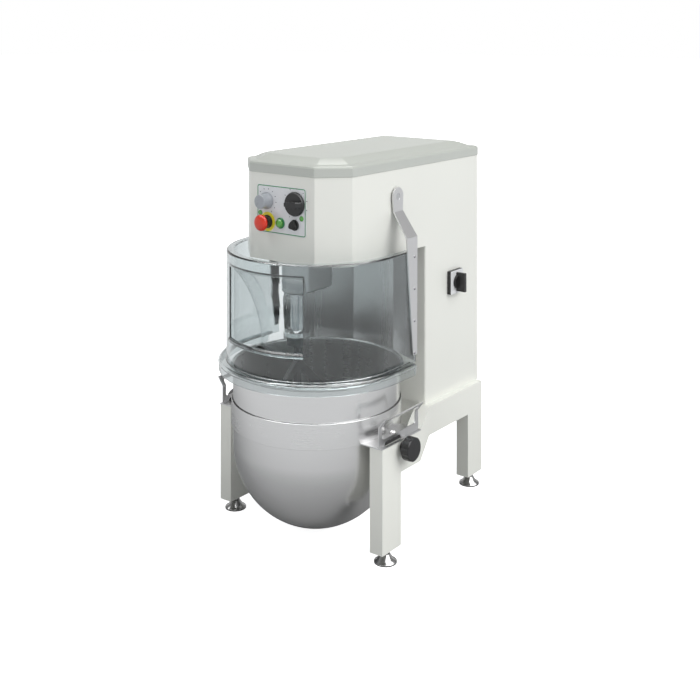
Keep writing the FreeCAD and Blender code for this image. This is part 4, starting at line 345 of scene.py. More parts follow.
@dataclass(frozen=True)
class Plastic:
    """Moulded plastic, with a fine spark-eroded surface."""

    name: str
    colour: Colour
    roughness: float = 0.45
    coat: float = 0.0
    texture: float = 0.04 * MM
    fine_scale: float = 2600.0
    cloud_scale: float = 60.0

    def material(self) -> bpy.types.Material:
        """Build the material.

        Returns:
            The finished material.
        """
        g = Surface(self.name)
        fine = g.noise(g.place(), self.fine_scale, 2.0)
        cloud = g.noise(g.place(), self.cloud_scale, 3.0)
        g.set(base_color=g.blend(cloud, tinted(self.colour, 0.93), tinted(self.colour, 1.06)),
              roughness=self.roughness + (fine - 0.5) * 0.12 + (cloud - 0.5) * 0.06,
              coat_weight=self.coat, coat_roughness=0.06)
        g.bump(fine, self.texture, 0.4)
        return g.material


@dataclass(frozen=True)
class ClearMoulding:
    """Clear thick plastic that bends light, with slight flow lines from its moulding."""

    name: str
    tint: Colour
    roughness: float = 0.02
    ior: float = 1.49
    flow_scale: float = 6.0
    scuff_scale: float = 90.0
    scuff_above: float = 0.68

    def material(self) -> bpy.types.Material:
        """Build the material.

        Returns:
            The finished material.
        """
        g = Surface(self.name)
        flow = g.noise(g.place((1.0, 1.0, 0.5)), self.flow_scale, 1.0)
        scratch = g.noise(g.place((1.0, 1.0, 4.0)), self.scuff_scale, 5.0, 0.7)
        scuffs = scratch > self.scuff_above
        g.set(base_color=g.blend(flow, tinted(self.tint, 0.985), tinted(self.tint, 1.015)),
              roughness=self.roughness + flow * 0.02 + scuffs * 0.03, ior=self.ior,
              transmission_weight=1.0, coat_weight=0.5, coat_roughness=0.02)
        g.bump(flow, 0.3 * MM, 0.1)
        return g.material


@dataclass(frozen=True)
class Lens:
    """Tinted lens or cap that glows faintly from inside."""

    name: str
    colour: Colour
    glow: float
    facet_scale: float = 900.0

    def material(self) -> bpy.types.Material:
        """Build the material.

        Returns:
            The finished material.
        """
        g = Surface(self.name)
        depth = g.node("ShaderNodeLayerWeight", None, {"Blend": 0.4}, "Facing")
        facets = g.node("ShaderNodeTexVoronoi", None,
                        {"Vector": g.place(), "Scale": self.facet_scale})
        g.set(base_color=g.blend(depth, self.colour, tinted(self.colour, 0.45)),
              roughness=0.12 + facets * 0.2,
              emission_color=g.blend(depth, self.colour, tinted(self.colour, 0.3)),
              emission_strength=self.glow, coat_weight=1.0, coat_roughness=0.03)
        g.bump(facets, 0.1 * MM, 0.3)
        return g.material


@dataclass(frozen=True)
class Finishes:
    """Every finish on the machine, made once."""

    axis: Point
    made: dict[str, bpy.types.Material] = field(default_factory=dict)

    def get(self, key: str) -> bpy.types.Material:
        """Return the material of a name, built on first use."""
        if key not in self.made:
            self.made[key] = self._recipes()[key].material()
        return self.made[key]

    def _recipes(self) -> dict[str, Any]:
        """Return the recipe of each finish."""
        recipes = [
            Enamel("body_enamel", (0.79, 0.795, 0.745)),
            Enamel("lid_enamel", (0.50, 0.52, 0.475), 0.42),
            # A slightly darker, rougher copy of the lid's enamel for its upright faces: painted
            # shade.
            Enamel("lid_edge", (0.49, 0.51, 0.475), 0.46),
            Enamel("stand_enamel", (0.84, 0.845, 0.79), 0.40),
            Steel("bowl_steel", (0.74, 0.74, 0.74), 0.25, Grain.SPUN, self.axis, 0.001 * MM),
            # A darker copy of the bowl's steel for its inside: painted shade in the hollow, with
            # streaks of painted reflection.
            Steel("bowl_inside_steel", (0.51, 0.51, 0.50), 0.28, Grain.SPUN, self.axis, 0.001 * MM,
                  0.20),
            Steel("band_steel", (0.75, 0.75, 0.75), 0.27, Grain.LEVEL, self.axis, 0.001 * MM),
            # The shield's faint upright streaks are painted reflection too.
            Steel("shield_steel", (0.48, 0.485, 0.485), 0.26, Grain.UPRIGHT, self.axis,
                  0.0005 * MM, 0.05),
            Steel("strap_steel", (0.66, 0.66, 0.665), 0.30, Grain.UPRIGHT),
            Steel("polished_steel", (0.72, 0.72, 0.72), 0.10, Grain.POLISHED, depth=0.008 * MM),
            Steel("turned_steel", (0.56, 0.57, 0.58), 0.24, Grain.LEVEL, depth=0.015 * MM),
            Steel("foot_steel", (0.42, 0.42, 0.42), 0.20, Grain.LEVEL),
            # The beater's near-black colour is darker than any bare alloy: it darkens the beater as
            # the shade inside the bowl does, a painted shade.
            Steel("beater_alloy", (0.055, 0.057, 0.057), 0.55, Grain.CAST, depth=0.10 * MM),
            Steel("rivet_steel", (0.30, 0.30, 0.31), 0.35, Grain.POLISHED, depth=0.008 * MM),
            Steel("cast_alloy", (0.52, 0.53, 0.54), 0.42, Grain.CAST, depth=0.12 * MM),
            Steel("grey_casting", (0.20, 0.21, 0.22), 0.5, Grain.CAST, depth=0.2 * MM),
            ClearMoulding("clear_wall", (0.72, 0.77, 0.775)),
            ClearMoulding("clear_chute", (0.77, 0.81, 0.815)),
            Plastic("black_moulding", (0.014, 0.014, 0.015), 0.38, 0.1),
            Plastic("matt_black", (0.022, 0.022, 0.023), 0.55),
            Plastic("grey_moulding", (0.36, 0.38, 0.41), 0.38, 0.2),
            Plastic("red_cap", (0.70, 0.028, 0.004), 0.34, 0.25, 0.01 * MM),
            Plastic("yellow_disc", (0.88, 0.80, 0.05), 0.42),
            Plastic("silver_face", (0.72, 0.73, 0.74), 0.32, 0.3, 0.01 * MM),
            Plastic("panel_face", (0.74, 0.75, 0.77), 0.40, 0.3, 0.015 * MM),
            Plastic("green_print", (0.025, 0.24, 0.075), 0.42),
            Plastic("dark_print", (0.12, 0.13, 0.15), 0.5),
            Plastic("soft_rubber", (0.014, 0.014, 0.014), 0.75, 0.0, 0.1 * MM),
            Lens("green_lens", (0.07, 0.34, 0.03), 0.10),
        ]
        return {recipe.name: recipe for recipe in recipes}


# ---------------------------------------------------------------------------- mesh helpers
def new_piece(name: str, verts: Iterable[Sequence[float]],
              faces: Iterable[Sequence[int]]) -> bpy.types.Object:
    """Make a mesh object in the scene.

    Args:
        name: the piece's name.
        verts: its points, in metres.
        faces: its faces, as indices of points.

    Returns:
        The object, at the origin.
    """
    mesh = bpy.data.meshes.new(name)
    mesh.from_pydata([tuple(v) for v in verts], [], [tuple(f) for f in faces])
    mesh.update()
    piece = bpy.data.objects.new(name, mesh)
    bpy.context.scene.collection.objects.link(piece)
    return piece


def outward(piece: bpy.types.Object, merge: float = 1e-6) -> None:
    """Merge doubled points and turn every face outward.

    Args:
        piece: the mesh object.
        merge: points nearer than this, in metres, become one.
    """
    work = bmesh.new()
    work.from_mesh(piece.data)
    bmesh.ops.remove_doubles(work, verts=work.verts, dist=merge)
    bmesh.ops.recalc_face_normals(work, faces=work.faces)
    work.to_mesh(piece.data)
    work.free()


def smooth(piece: bpy.types.Object, angle: float = 35.0) -> None:
    """Shade smooth, and keep the sharper edges sharp.

    Args:
        piece: the mesh object.
        angle: edges that turn by less than this, in degrees, shade smooth.
    """
    work = bmesh.new()
    work.from_mesh(piece.data)
    for face in work.faces:
        face.smooth = True
    limit = math.radians(angle)
    for edge in work.edges:
        edge.smooth = len(edge.link_faces) == 2 and edge.calc_face_angle(0.0) < limit
    work.to_mesh(piece.data)
    work.free()


def lathe(name: str, outline: Plan, segments: int, centre: Point,
          closed: bool = True) -> bpy.types.Object:
    """Turn an outline about an upright axis.

    Args:
        name: the piece's name.
        outline: (radius, height) points; a radius of 0 makes a pole.
        segments: steps round the axis.
        centre: the axis's foot.
        closed: whether the outline's last point joins its first.

    Returns:
        The turned piece.
    """
    verts: list[Point] = []
    rings: list[list[int]] = []
    for radius, height in outline:
        start = len(verts)
        count = 1 if radius < 1e-7 else segments
        for i in range(count):
            angle = 2 * math.pi * i / segments
            verts.append((radius * math.cos(angle), radius * math.sin(angle), height))
        rings.append([start + i % count for i in range(segments)])
    faces = []
    for k in range(len(rings) if closed else len(rings) - 1):
        low, high = rings[k], rings[(k + 1) % len(rings)]
        for i in range(segments):
            j = (i + 1) % segments
            corners = list(dict.fromkeys((low[i], low[j], high[j], high[i])))
            if len(corners) > 2:
                faces.append(corners)
    piece = new_piece(name, verts, faces)
    outward(piece)
    smooth(piece)
    piece.data.transform(Matrix.Translation(centre))
    return piece


def arc_points(centre: Spot, radius: float, start: float, stop: float,
               steps: int) -> list[Spot]:
    """Return points on an arc, with its angles in degrees."""
    angles = [math.radians(start + (stop - start) * i / steps) for i in range(steps + 1)]
    return [(centre[0] + radius * math.cos(a), centre[1] + radius * math.sin(a)) for a in angles]


def clean_copy(node: str, name: str, bevel: float = 0.0, angle: float = 30.0) -> bpy.types.Object:
    """Copy a CAD node's mesh with its points merged, its flats joined and its edges softened.

    Args:
        node: the CAD node.
        name: the copy's name.
        bevel: the width of the softened edges, in metres; 0 leaves them.
        angle: edges that turn by less than this, in degrees, shade smooth.

    Returns:
        The copy, which stands for the node.
    """
    source = bpy.data.objects[node]
    mesh = source.data.copy()
    piece = bpy.data.objects.new(name, mesh)
    bpy.context.scene.collection.objects.link(piece)
    work = bmesh.new()
    work.from_mesh(mesh)
    bmesh.ops.remove_doubles(work, verts=work.verts, dist=MERGE)
    bmesh.ops.dissolve_limit(work, angle_limit=FLAT, verts=work.verts, edges=work.edges)
    work.to_mesh(mesh)
    work.free()
    if "custom_normal" in mesh.attributes:
        mesh.attributes.remove(mesh.attributes["custom_normal"])
    smooth(piece, angle)
    if bevel:
        modifier = piece.modifiers.new("soft_edges", "BEVEL")
        modifier.width = bevel
        modifier.segments = 2
        modifier.limit_method = "ANGLE"
        modifier.angle_limit = BEVEL_FROM
        modifier.harden_normals = True
    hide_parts(node)
    return piece


def plain(piece: bpy.types.Object) -> bpy.types.Object:
    """Turn an object's evaluated shape into its own plain mesh.

    Args:
        piece: an object with modifiers.

    Returns:
        The same object, without them.
    """
    depsgraph = bpy.context.evaluated_depsgraph_get()
    mesh = bpy.data.meshes.new_from_object(piece.evaluated_get(depsgraph))
    piece.modifiers.clear()
    piece.data = mesh
    mesh.name = piece.name
    return piece


def paint(piece: bpy.types.Object, material: bpy.types.Material) -> None:
    """Give a piece one material."""
    piece.data.materials.clear()
    piece.data.materials.append(material)


def facing_front(place: Point) -> Matrix:
    """Return the placement, at a point, of a shape drawn looking up that is to look along -Y."""
    return Matrix.Translation(place) @ Matrix.Rotation(math.pi / 2, 4, "X")


def middle(node: str) -> Vector:
    """Return the middle of a CAD node's box."""
    low, high = (Vector(corner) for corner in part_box(node))
    return (low + high) / 2


# ---------------------------------------------------------------------------- geometry nodes
class Repeat:
    """A Geometry Nodes tree that stands a small mesh at the points of a pattern."""

    def __init__(self, name: str) -> None:
        """Start a tree with an item, a finish and a geometry output.

        Args:
            name: the tree's name.
        """
        self.tree = bpy.data.node_groups.new(name, "GeometryNodeTree")
        self.inputs: dict[str, str] = {}
        self.tree.interface.new_socket("Geometry", in_out="OUTPUT",
                                       socket_type="NodeSocketGeometry")
        for label, kind in (("Item", "NodeSocketObject"), ("Finish", "NodeSocketMaterial")):
            self.add_input(label, kind)
        self.group = self.tree.nodes.new("NodeGroupInput")

    def add_input(self, label: str, kind: str) -> None:
        """Add a named input to the tree."""
        socket = self.tree.interface.new_socket(label, in_out="INPUT", socket_type=kind)
        self.inputs[label] = socket.identifier

    def node(self, kind: str, settings: dict[str, Any] | None = None,
             inputs: dict[Any, Any] | None = None) -> bpy.types.Node:
        """Add a node with its settings, numbers and links."""
        made = self.tree.nodes.new(kind)
        for key, setting in (settings or {}).items():
            setattr(made, key, setting)
        for key, value in (inputs or {}).items():
            if isinstance(value, bpy.types.NodeSocket):
                self.tree.links.new(value, made.inputs[key])
            else:
                made.inputs[key].default_value = value
        return made

    def maths(self, operation: str, first: Any, second: Any) -> bpy.types.NodeSocket:
        """Return a Math node's result."""
        made = self.node("ShaderNodeMath", {"operation": operation}, {0: first, 1: second})
        return made.outputs[0]

    def arc(self) -> "Repeat":
        """Stand the item on an arc: inputs Count, Radius, Start and Step, in radians."""
        for label, kind in (("Count", "NodeSocketInt"), ("Radius", "NodeSocketFloat"),
                            ("Start", "NodeSocketFloat"), ("Step", "NodeSocketFloat")):
            self.add_input(label, kind)
        index = self.node("GeometryNodeInputIndex").outputs[0]
        socket = self.group.outputs
        angle = self.maths("ADD", self.maths("MULTIPLY", index, socket["Step"]), socket["Start"])
        across = self.maths("MULTIPLY", self.maths("COSINE", angle, 0.0), socket["Radius"])
        along = self.maths("MULTIPLY", self.maths("SINE", angle, 0.0), socket["Radius"])
        place = self.node("ShaderNodeCombineXYZ", None, {0: across, 1: along}).outputs[0]
        points = self.node("GeometryNodePoints", None,
                           {"Count": socket["Count"], "Position": place})
        turn = self.node("ShaderNodeCombineXYZ", None, {2: angle}).outputs[0]
        item = self.node("GeometryNodeObjectInfo", None, {"Object": socket["Item"]})
        copies = self.node("GeometryNodeInstanceOnPoints", None,
                           {"Points": points.outputs[0], "Instance": item.outputs["Geometry"],
                            "Rotation": turn})
        real = self.node("GeometryNodeRealizeInstances", None, {0: copies.outputs[0]})
        dressed = self.node("GeometryNodeSetMaterial", None,
                            {0: real.outputs[0], "Material": socket["Finish"]})
        out = self.tree.nodes.new("NodeGroupOutput")
        self.tree.links.new(dressed.outputs[0], out.inputs[0])
        return self

    def make(self, name: str, item: bpy.types.Object, finish: bpy.types.Material,
             placement: Matrix, **values: Any) -> bpy.types.Object:
        """Run the tree and return its result as a plain mesh.

        Args:
            name: the new piece's name.
            item: the mesh to repeat, which is removed afterwards.
            finish: the material of every copy.
            placement: where the pattern goes.
            values: the tree's other inputs, by their names in lower case.

        Returns:
            The repeated piece.
        """
        host = new_piece(name, [(0.0, 0.0, 0.0)], [])
        modifier = host.modifiers.new("repeat", "NODES")
        modifier.node_group = self.tree
        modifier[self.inputs["Item"]] = item
        modifier[self.inputs["Finish"]] = finish
        for key, value in values.items():
            modifier[self.inputs[key.title()]] = value
        bpy.context.view_layer.update()
        piece = plain(host)
        bpy.data.objects.remove(item)
        piece.data.transform(placement)
        return piece


def on_arc(name: str, item: bpy.types.Object, finish: bpy.types.Material, placement: Matrix,
           count: int, radius: float, start: float, stop: float) -> bpy.types.Object:
    """Repeat a small mesh on an arc by a Geometry Nodes tree.

    Args:
        name: the new piece's name.
        item: the mesh to repeat.
        finish: the material of every copy.
        placement: where the arc goes.
        count: how many copies there are.
        radius: the arc's radius.
        start: the first copy's angle, in degrees.
        stop: the last copy's angle.

    Returns:
        The repeated piece.
    """
    step = math.radians(stop - start) / (count - 1)
    return Repeat(name + "_tree").arc().make(name, item, finish, placement, count=count,
                                             radius=radius, start=math.radians(start), step=step)


def small_block(name: str, length: float, width: float, height: float) -> bpy.types.Object:
    """Make a small raised block that lies along X, its base on z = 0.

    Args:
        name: its name.
        length: its size along X.
        width: its size along Y.
        height: its size along Z.

    Returns:
        The block.
    """
    half, side = length / 2, width / 2
    verts = [(-half, -side, 0), (half, -side, 0), (half, side, 0), (-half, side, 0)]
    verts += [(x, y, height) for x, y, _ in verts]
    faces = [(3, 2, 1, 0), (4, 5, 6, 7), (0, 1, 5, 4), (1, 2, 6, 5), (2, 3, 7, 6), (3, 0, 4, 7)]
    return new_piece(name, verts, faces)


# ---------------------------------------------------------------------------- sub-assemblies
@dataclass
class Assembly:
    """What every sub-assembly shares: its finishes and a way to dress its pieces."""

    finishes: Finishes

    def dress(self, piece: bpy.types.Object, finish: str, body: str, slot: str) -> bpy.types.Object:
        """Paint a piece and hang it on its body.

        Args:
            piece: the piece.
            finish: the name of its finish.
            body: the body that it moves with.
            slot: not used.

        Returns:
            The same piece.
        """
        if finish:
            paint(piece, self.finishes.get(finish))
        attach(piece, body)
        LOG.info("%s: %s on %s", piece.name, finish or "own finishes", body)
        return piece

    def keep(self, node: str, finish: str) -> None:
        """Leave a CAD node in place and give it a finish."""
        paint(bpy.data.objects[node], self.finishes.get(finish))
        LOG.info("%s: %s", node, finish)

    def soften(self, node: str, finish: str, body: str, slot: str, bevel: float = 0.6 * MM,
               angle: float = 30.0) -> bpy.types.Object:
        """Stand a clean copy with softened edges in for a CAD node."""
        return self.dress(clean_copy(node, node + "_skin", bevel, angle), finish, body, slot)


@dataclass
class Housing(Assembly):
    """Enamelled head and column, lid, rear cover, splash shield and their screws."""

    edge: float = 1.2 * MM
    upright: float = 0.3

    def build(self) -> None:
        """Dress the housing."""
        self.soften("housing_shell", "body_enamel", "frame", "body_paint", self.edge)
        self._lid()
        self.soften("rear_cover", "body_enamel", "frame", "body_paint", 0.4 * MM)
        self.soften("splash_shield", "shield_steel", "frame", "sheet_steel", 0.4 * MM, 6.0)
        self.soften("cable_gland", "matt_black", "frame", "black_plastic", 0.4 * MM)
        self.keep("cover_screws", "polished_steel")

    def _lid(self) -> None:
        """Dress the lid; its upright faces get a slightly darker, rougher copy of its enamel, a
        painted shade where less light from above falls.
        """
        lid = self.soften("top_lid", "lid_enamel", "frame", "lid_paint", self.edge, 12.0)
        lid.data.materials.append(self.finishes.get("lid_edge"))
        # Upright faces take the darker copy: painted shade.
        for polygon in lid.data.polygons:
            polygon.material_index = int(abs(polygon.normal.z) < self.upright)


@dataclass
class Stand(Assembly):
    """Legs, beams, levelling feet and their nuts."""

    edge: float = 2.2 * MM

    def build(self) -> None:
        """Dress the stand."""
        for node in ("front_legs", "rear_legs", "side_beam_left", "side_beam_right", "cross_beams"):
            self.soften(node, "stand_enamel", "frame", "stand_paint", self.edge)
        self.soften("levelling_feet", "foot_steel", "frame", "polished_steel", 0.3 * MM, 40.0)
        self.soften("foot_nuts", "turned_steel", "frame", "polished_steel", 0.4 * MM)
        self.soften("locating_studs", "polished_steel", "frame", "polished_steel", 0.0, 60.0)


@dataclass
class Bowl(Assembly):
    """Spun bowl with its wrap band and brackets."""

    wall: float = 2.0 * MM
    bead: float = 5.0 * MM
    segments: int = 160
    dish_steps: int = 44
    wall_steps: int = 6
    rim_steps: int = 22
    rim_arc: Spot = (-130.0, 175.0)
    band_gap: float = 2.0 * MM
    band_sheet: float = 2.0 * MM
    band_foot: float = 4.0 * MM
    band_edge: float = 0.5 * MM

    def build(self) -> None:
        """Turn the bowl and its band, and dress the brackets."""
        self._bowl()
        self._band()
        for side in ("left", "right"):
            self.soften("bowl_bracket_" + side, "strap_steel", "bowl", "bowl_steel", 0.5 * MM)
        self.soften("bracket_pads", "soft_rubber", "bowl", "rubber", 0.6 * MM)

    def _bowl(self) -> None:
        """Turn the bowl: dish outside, rolled rim, dish inside; the inside faces take a darker copy
        of the steel, a painted shade.
        """
        low, high = (Vector(corner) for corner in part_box("mixing_bowl"))
        axis = (low + high) / 2
        outer = (high.x - low.x) / 2 - 2 * self.bead + self.wall
        centre_z = low.z + outer
        bead_r = outer + self.bead - self.wall
        bead_z = high.z - self.bead
        inner = outer - self.wall
        steps = range(1, self.wall_steps)
        rise = bead_z - centre_z
        outside = arc_points((0.0, centre_z), outer, -90, 0, self.dish_steps)
        outside += [(outer, centre_z + rise * i / self.wall_steps) for i in steps]
        rim = arc_points((bead_r, bead_z), self.bead, *self.rim_arc, self.rim_steps)
        inside = [(inner, bead_z - rise * i / self.wall_steps) for i in steps]
        inside += arc_points((0.0, centre_z), inner, 0, -90, self.dish_steps)
        outline = outside + rim + inside
        outline[0] = (0.0, outline[0][1])
        outline[-1] = (0.0, outline[-1][1])
        piece = lathe("bowl_spun", outline, self.segments, (axis.x, axis.y, 0.0), closed=False)
        piece.data.materials.append(self.finishes.get("bowl_steel"))
        piece.data.materials.append(self.finishes.get("bowl_inside_steel"))
        # Inside faces below the rim take the darker steel: painted shade.
        for polygon in piece.data.polygons:
            out = Vector(polygon.center) - Vector((axis.x, axis.y, centre_z))
            painted_shade_inside = polygon.normal.dot(out) < 0 and polygon.center.z < bead_z - self.bead * 0.5
            polygon.material_index = 1 if painted_shade_inside else 0
        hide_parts("mixing_bowl")
        self.dress(piece, "", "bowl", "bowl_steel")

    def _band(self) -> None:
        """Turn the wrap band."""
        low, high = (Vector(corner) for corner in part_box("bowl_band"))
        axis = (low + high) / 2
        outer = (high.x - low.x) / 2
        inner = outer - self.band_sheet
        bowl = inner - self.band_gap
        soft = self.band_edge
        outline = [(inner, high.z - soft), (inner + soft, high.z),
                   (outer - soft, high.z), (outer, high.z - soft),
                   (outer, low.z + soft), (outer - soft, low.z),
                   (bowl, low.z), (bowl, low.z + self.band_foot),
                   (inner, low.z + self.band_foot)]
        piece = lathe("band_rolled", outline, self.segments, (axis.x, axis.y, 0.0))
        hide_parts("bowl_band")
        self.dress(piece, "band_steel", "bowl", "bowl_steel")


@dataclass
class Guard(Assembly):
    """Clear guard with its chute, straps, rivets and cross shaft."""

    round_enough: float = 0.997
    shaft_inset: float = 0.5 * MM

    def build(self) -> None:
        """Dress the guard."""
        self._wall()
        self.keep("guard_chute", "clear_chute")
        for side in ("left", "right"):
            self.soften("guard_arm_" + side, "strap_steel", "guard", "sheet_steel", 0.6 * MM)
        self.soften("guard_rivets", "rivet_steel", "guard", "sheet_steel", 0.0, 60.0)
        self._cross_shaft()
        self.soften("pivot_bushes", "matt_black", "frame", "black_plastic", 0.3 * MM)

    def _wall(self) -> None:
        """Dress the guard's shell, its round wall shaded as a true round about the bowl's axis."""
        mesh = bpy.data.objects["guard_shell"].data.copy()
        wall = bpy.data.objects.new("guard_shell_skin", mesh)
        bpy.context.scene.collection.objects.link(wall)
        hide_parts("guard_shell")
        axis = Vector(self.finishes.axis)
        normals = [Vector(corner.vector) for corner in mesh.corner_normals]
        for polygon in mesh.polygons:
            for index in polygon.loop_indices:
                out = mesh.vertices[mesh.loops[index].vertex_index].co - axis
                out.z = 0.0
                out.normalize()
                along = polygon.normal.dot(out)
                if abs(along) > self.round_enough:
                    normals[index] = out * math.copysign(1.0, along)
        mesh.normals_split_custom_set(normals)
        self.dress(wall, "clear_wall", "guard", "clear_guard")

    def _cross_shaft(self) -> None:
        """Dress the cross shaft, its ends drawn in below the straps' faces."""
        top = middle("pivot_shaft").z
        flush = max(vertex.co.x for vertex in bpy.data.objects["guard_arm_right"].data.vertices
                    if vertex.co.z > top) - self.shaft_inset
        shaft = clean_copy("pivot_shaft", "pivot_shaft_skin", 0.2 * MM)
        for vertex in shaft.data.vertices:
            vertex.co.x = max(-flush, min(flush, vertex.co.x))
        self.dress(shaft, "turned_steel", "guard", "polished_steel")


@dataclass
class Planetary(Assembly):
    """Carrier, tool shaft, collar, beater and the gears behind them."""

    def build(self) -> None:
        """Dress the drive and the tool."""
        self.soften("planet_carrier", "cast_alloy", "planet_drive", "cast_alloy", 0.8 * MM, 40.0)
        self.soften("tool_shaft", "turned_steel", "tool", "machined_steel", 0.4 * MM, 40.0)
        self.soften("locking_collar", "polished_steel", "collar", "polished_steel", 0.3 * MM, 40.0)
        self.soften("flat_beater", "beater_alloy", "tool", "cast_alloy", 2.0 * MM, 40.0)
        for node in ("ring_gear", "planet_pinion", "main_shaft", "motor_shaft", "bearing_plate",
                     "main_bearings", "tool_bearings"):
            self.keep(node, "turned_steel")
        for node in ("main_pulley", "motor_pulley"):
            self.keep(node, "cast_alloy")
        for node in ("bearing_housing", "drive_motor", "motor_plate"):
            self.keep(node, "grey_casting")
        self.keep("drive_belt", "soft_rubber")
        self.keep("inverter_box", "grey_moulding")


@dataclass
class Controls(Assembly):
    """Control panel with its knobs, buttons, lamps and printed marks."""

    margin: float = 1.4 * MM
    corner: float = 6.0 * MM
    border: float = 2.2 * MM
    print_height: float = 0.12 * MM
    tick: float = 3.2 * MM
    tick_width: float = 1.7 * MM
    grip_height: float = 13.0 * MM
    grip_share: float = 0.76
    grip_spread: float = 1.5

    def build(self) -> None:
        """Dress the panel and draw its marks."""
        self.soften("control_panel", "panel_face", "frame", "panel_laminate", 0.3 * MM)
        self._border()
        self._ticks()
        self.soften("speed_knob", "grey_moulding", "speed_control", "grey_plastic", 0.5 * MM)
        self._timer_knob()
        self.soften("estop_disc", "yellow_disc", "frame", "yellow_plastic", 0.2 * MM)
        self.soften("estop_collar", "black_moulding", "frame", "black_plastic", 0.3 * MM)
        self.soften("estop_button", "red_cap", "emergency_stop", "red_plastic", 0.0, 50.0)
        self.soften("start_button", "green_lens", "start", "green_plastic", 0.0, 60.0)
        self.soften("jog_button", "soft_rubber", "jog", "black_plastic", 1.2 * MM, 40.0)
        self._bezels()
        self.soften("indicator_lamps", "green_lens", "frame", "green_plastic", 0.0, 60.0)
        self.keep("control_blocks", "matt_black")

    def _bezels(self) -> None:
        """Dress the two bezels: green round the start button, black round the other."""
        bezels = self.soften("button_bezels", "matt_black", "frame", "black_plastic", 0.2 * MM)
        bezels.data.materials.append(self.finishes.get("green_print"))
        start, jog = middle("start_button"), middle("jog_button")
        for polygon in bezels.data.polygons:
            across = polygon.center.x
            polygon.material_index = int(abs(across - start.x) < abs(across - jog.x))

    def _timer_knob(self) -> None:
        """Dress the timer's knob, its grip drawn in from the disc's edge."""
        knob = clean_copy("timer_knob", "timer_knob_skin", 0.8 * MM)
        low, high = (Vector(corner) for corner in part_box("timer_knob"))
        axis = (low + high) / 2
        front = low.y + self.grip_height
        for vertex in knob.data.vertices:
            if vertex.co.y < front:
                vertex.co.x = axis.x + (vertex.co.x - axis.x) * self.grip_share
                vertex.co.z = axis.z + (vertex.co.z - axis.z) * self.grip_spread
        self.dress(knob, "black_moulding", "timer_control", "black_plastic")

    def _face(self) -> tuple[Vector, Vector]:
        """Return the lowest and highest corner of the panel's plate."""
        low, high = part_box("control_panel")
        return Vector(low), Vector(high)

    def _border(self) -> None:
        """Print the dark green line round the panel's edge."""
        low, high = self._face()
        half_x = (high.x - low.x) / 2 - self.margin - self.corner
        half_z = (high.z - low.z) / 2 - self.margin - self.corner
        loops = []
        for inset in (0.0, self.border):
            loop = []
            for sx, sz, start in ((1, 1, 0), (-1, 1, 90), (-1, -1, 180), (1, -1, 270)):
                centre = (sx * half_x, sz * half_z)
                loop += arc_points(centre, self.corner - inset, start, start + 90, 8)
            loops.append(loop)
        count = len(loops[0])
        top = 2 * count
        verts = [(x, z, h) for h in (0.0, self.print_height) for loop in loops for x, z in loop]
        faces = []
        for i in range(count):
            j = (i + 1) % count
            faces.append((top + i, top + j, top + count + j, top + count + i))
            faces.append((i, j, top + j, top + i))
            faces.append((count + i, top + count + i, top + count + j, count + j))
            faces.append((i, count + i, count + j, j))
        piece = new_piece("panel_border", verts, faces)
        outward(piece)
        centre = (low + high) / 2
        piece.data.transform(facing_front((centre.x, low.y, centre.z)))
        self.dress(piece, "green_print", "frame", "green_plastic")

    def _ticks(self) -> None:
        """Print the rings of ticks round the two knobs."""
        low, _ = self._face()
        for knob, name, count, reach, start, stop in (
                ("speed_knob", "speed_ticks", 9, 30.0 * MM, 165.0, -60.0),
                ("timer_knob", "timer_ticks", 9, 38.0 * MM, 150.0, -120.0)):
            spot = middle(knob)
            tick = small_block(name + "_item", self.tick, self.tick_width, self.print_height)
            piece = on_arc(name, tick, self.finishes.get("dark_print"),
                           facing_front((spot.x, low.y, spot.z)), count, reach, start, stop)
            self.dress(piece, "", "frame", "panel_laminate")


@dataclass
class MainSwitch(Assembly):
    """Square switch on the column's side: a pale face on a black base."""

    facing_out: float = 0.5

    def build(self) -> None:
        """Dress the switch."""
        plate = self.soften("main_switch_plate", "silver_face", "frame", "switch_face", 0.8 * MM)
        plate.data.materials.append(self.finishes.get("black_moulding"))
        for polygon in plate.data.polygons:
            polygon.material_index = int(abs(polygon.normal.x) < self.facing_out)
        self.soften("main_switch_handle", "black_moulding", "main_switch", "black_plastic",
                    0.8 * MM)
        self.keep("main_switch_body", "matt_black")


@dataclass
class Clamps(Assembly):
    """Lobed clamp knobs on the stand."""

    def build(self) -> None:
        """Dress the knobs."""
        for side in ("left", "right"):
            self.soften("clamp_knob_" + side, "black_moulding", "clamp_" + side,
                        "black_plastic", 0.8 * MM)


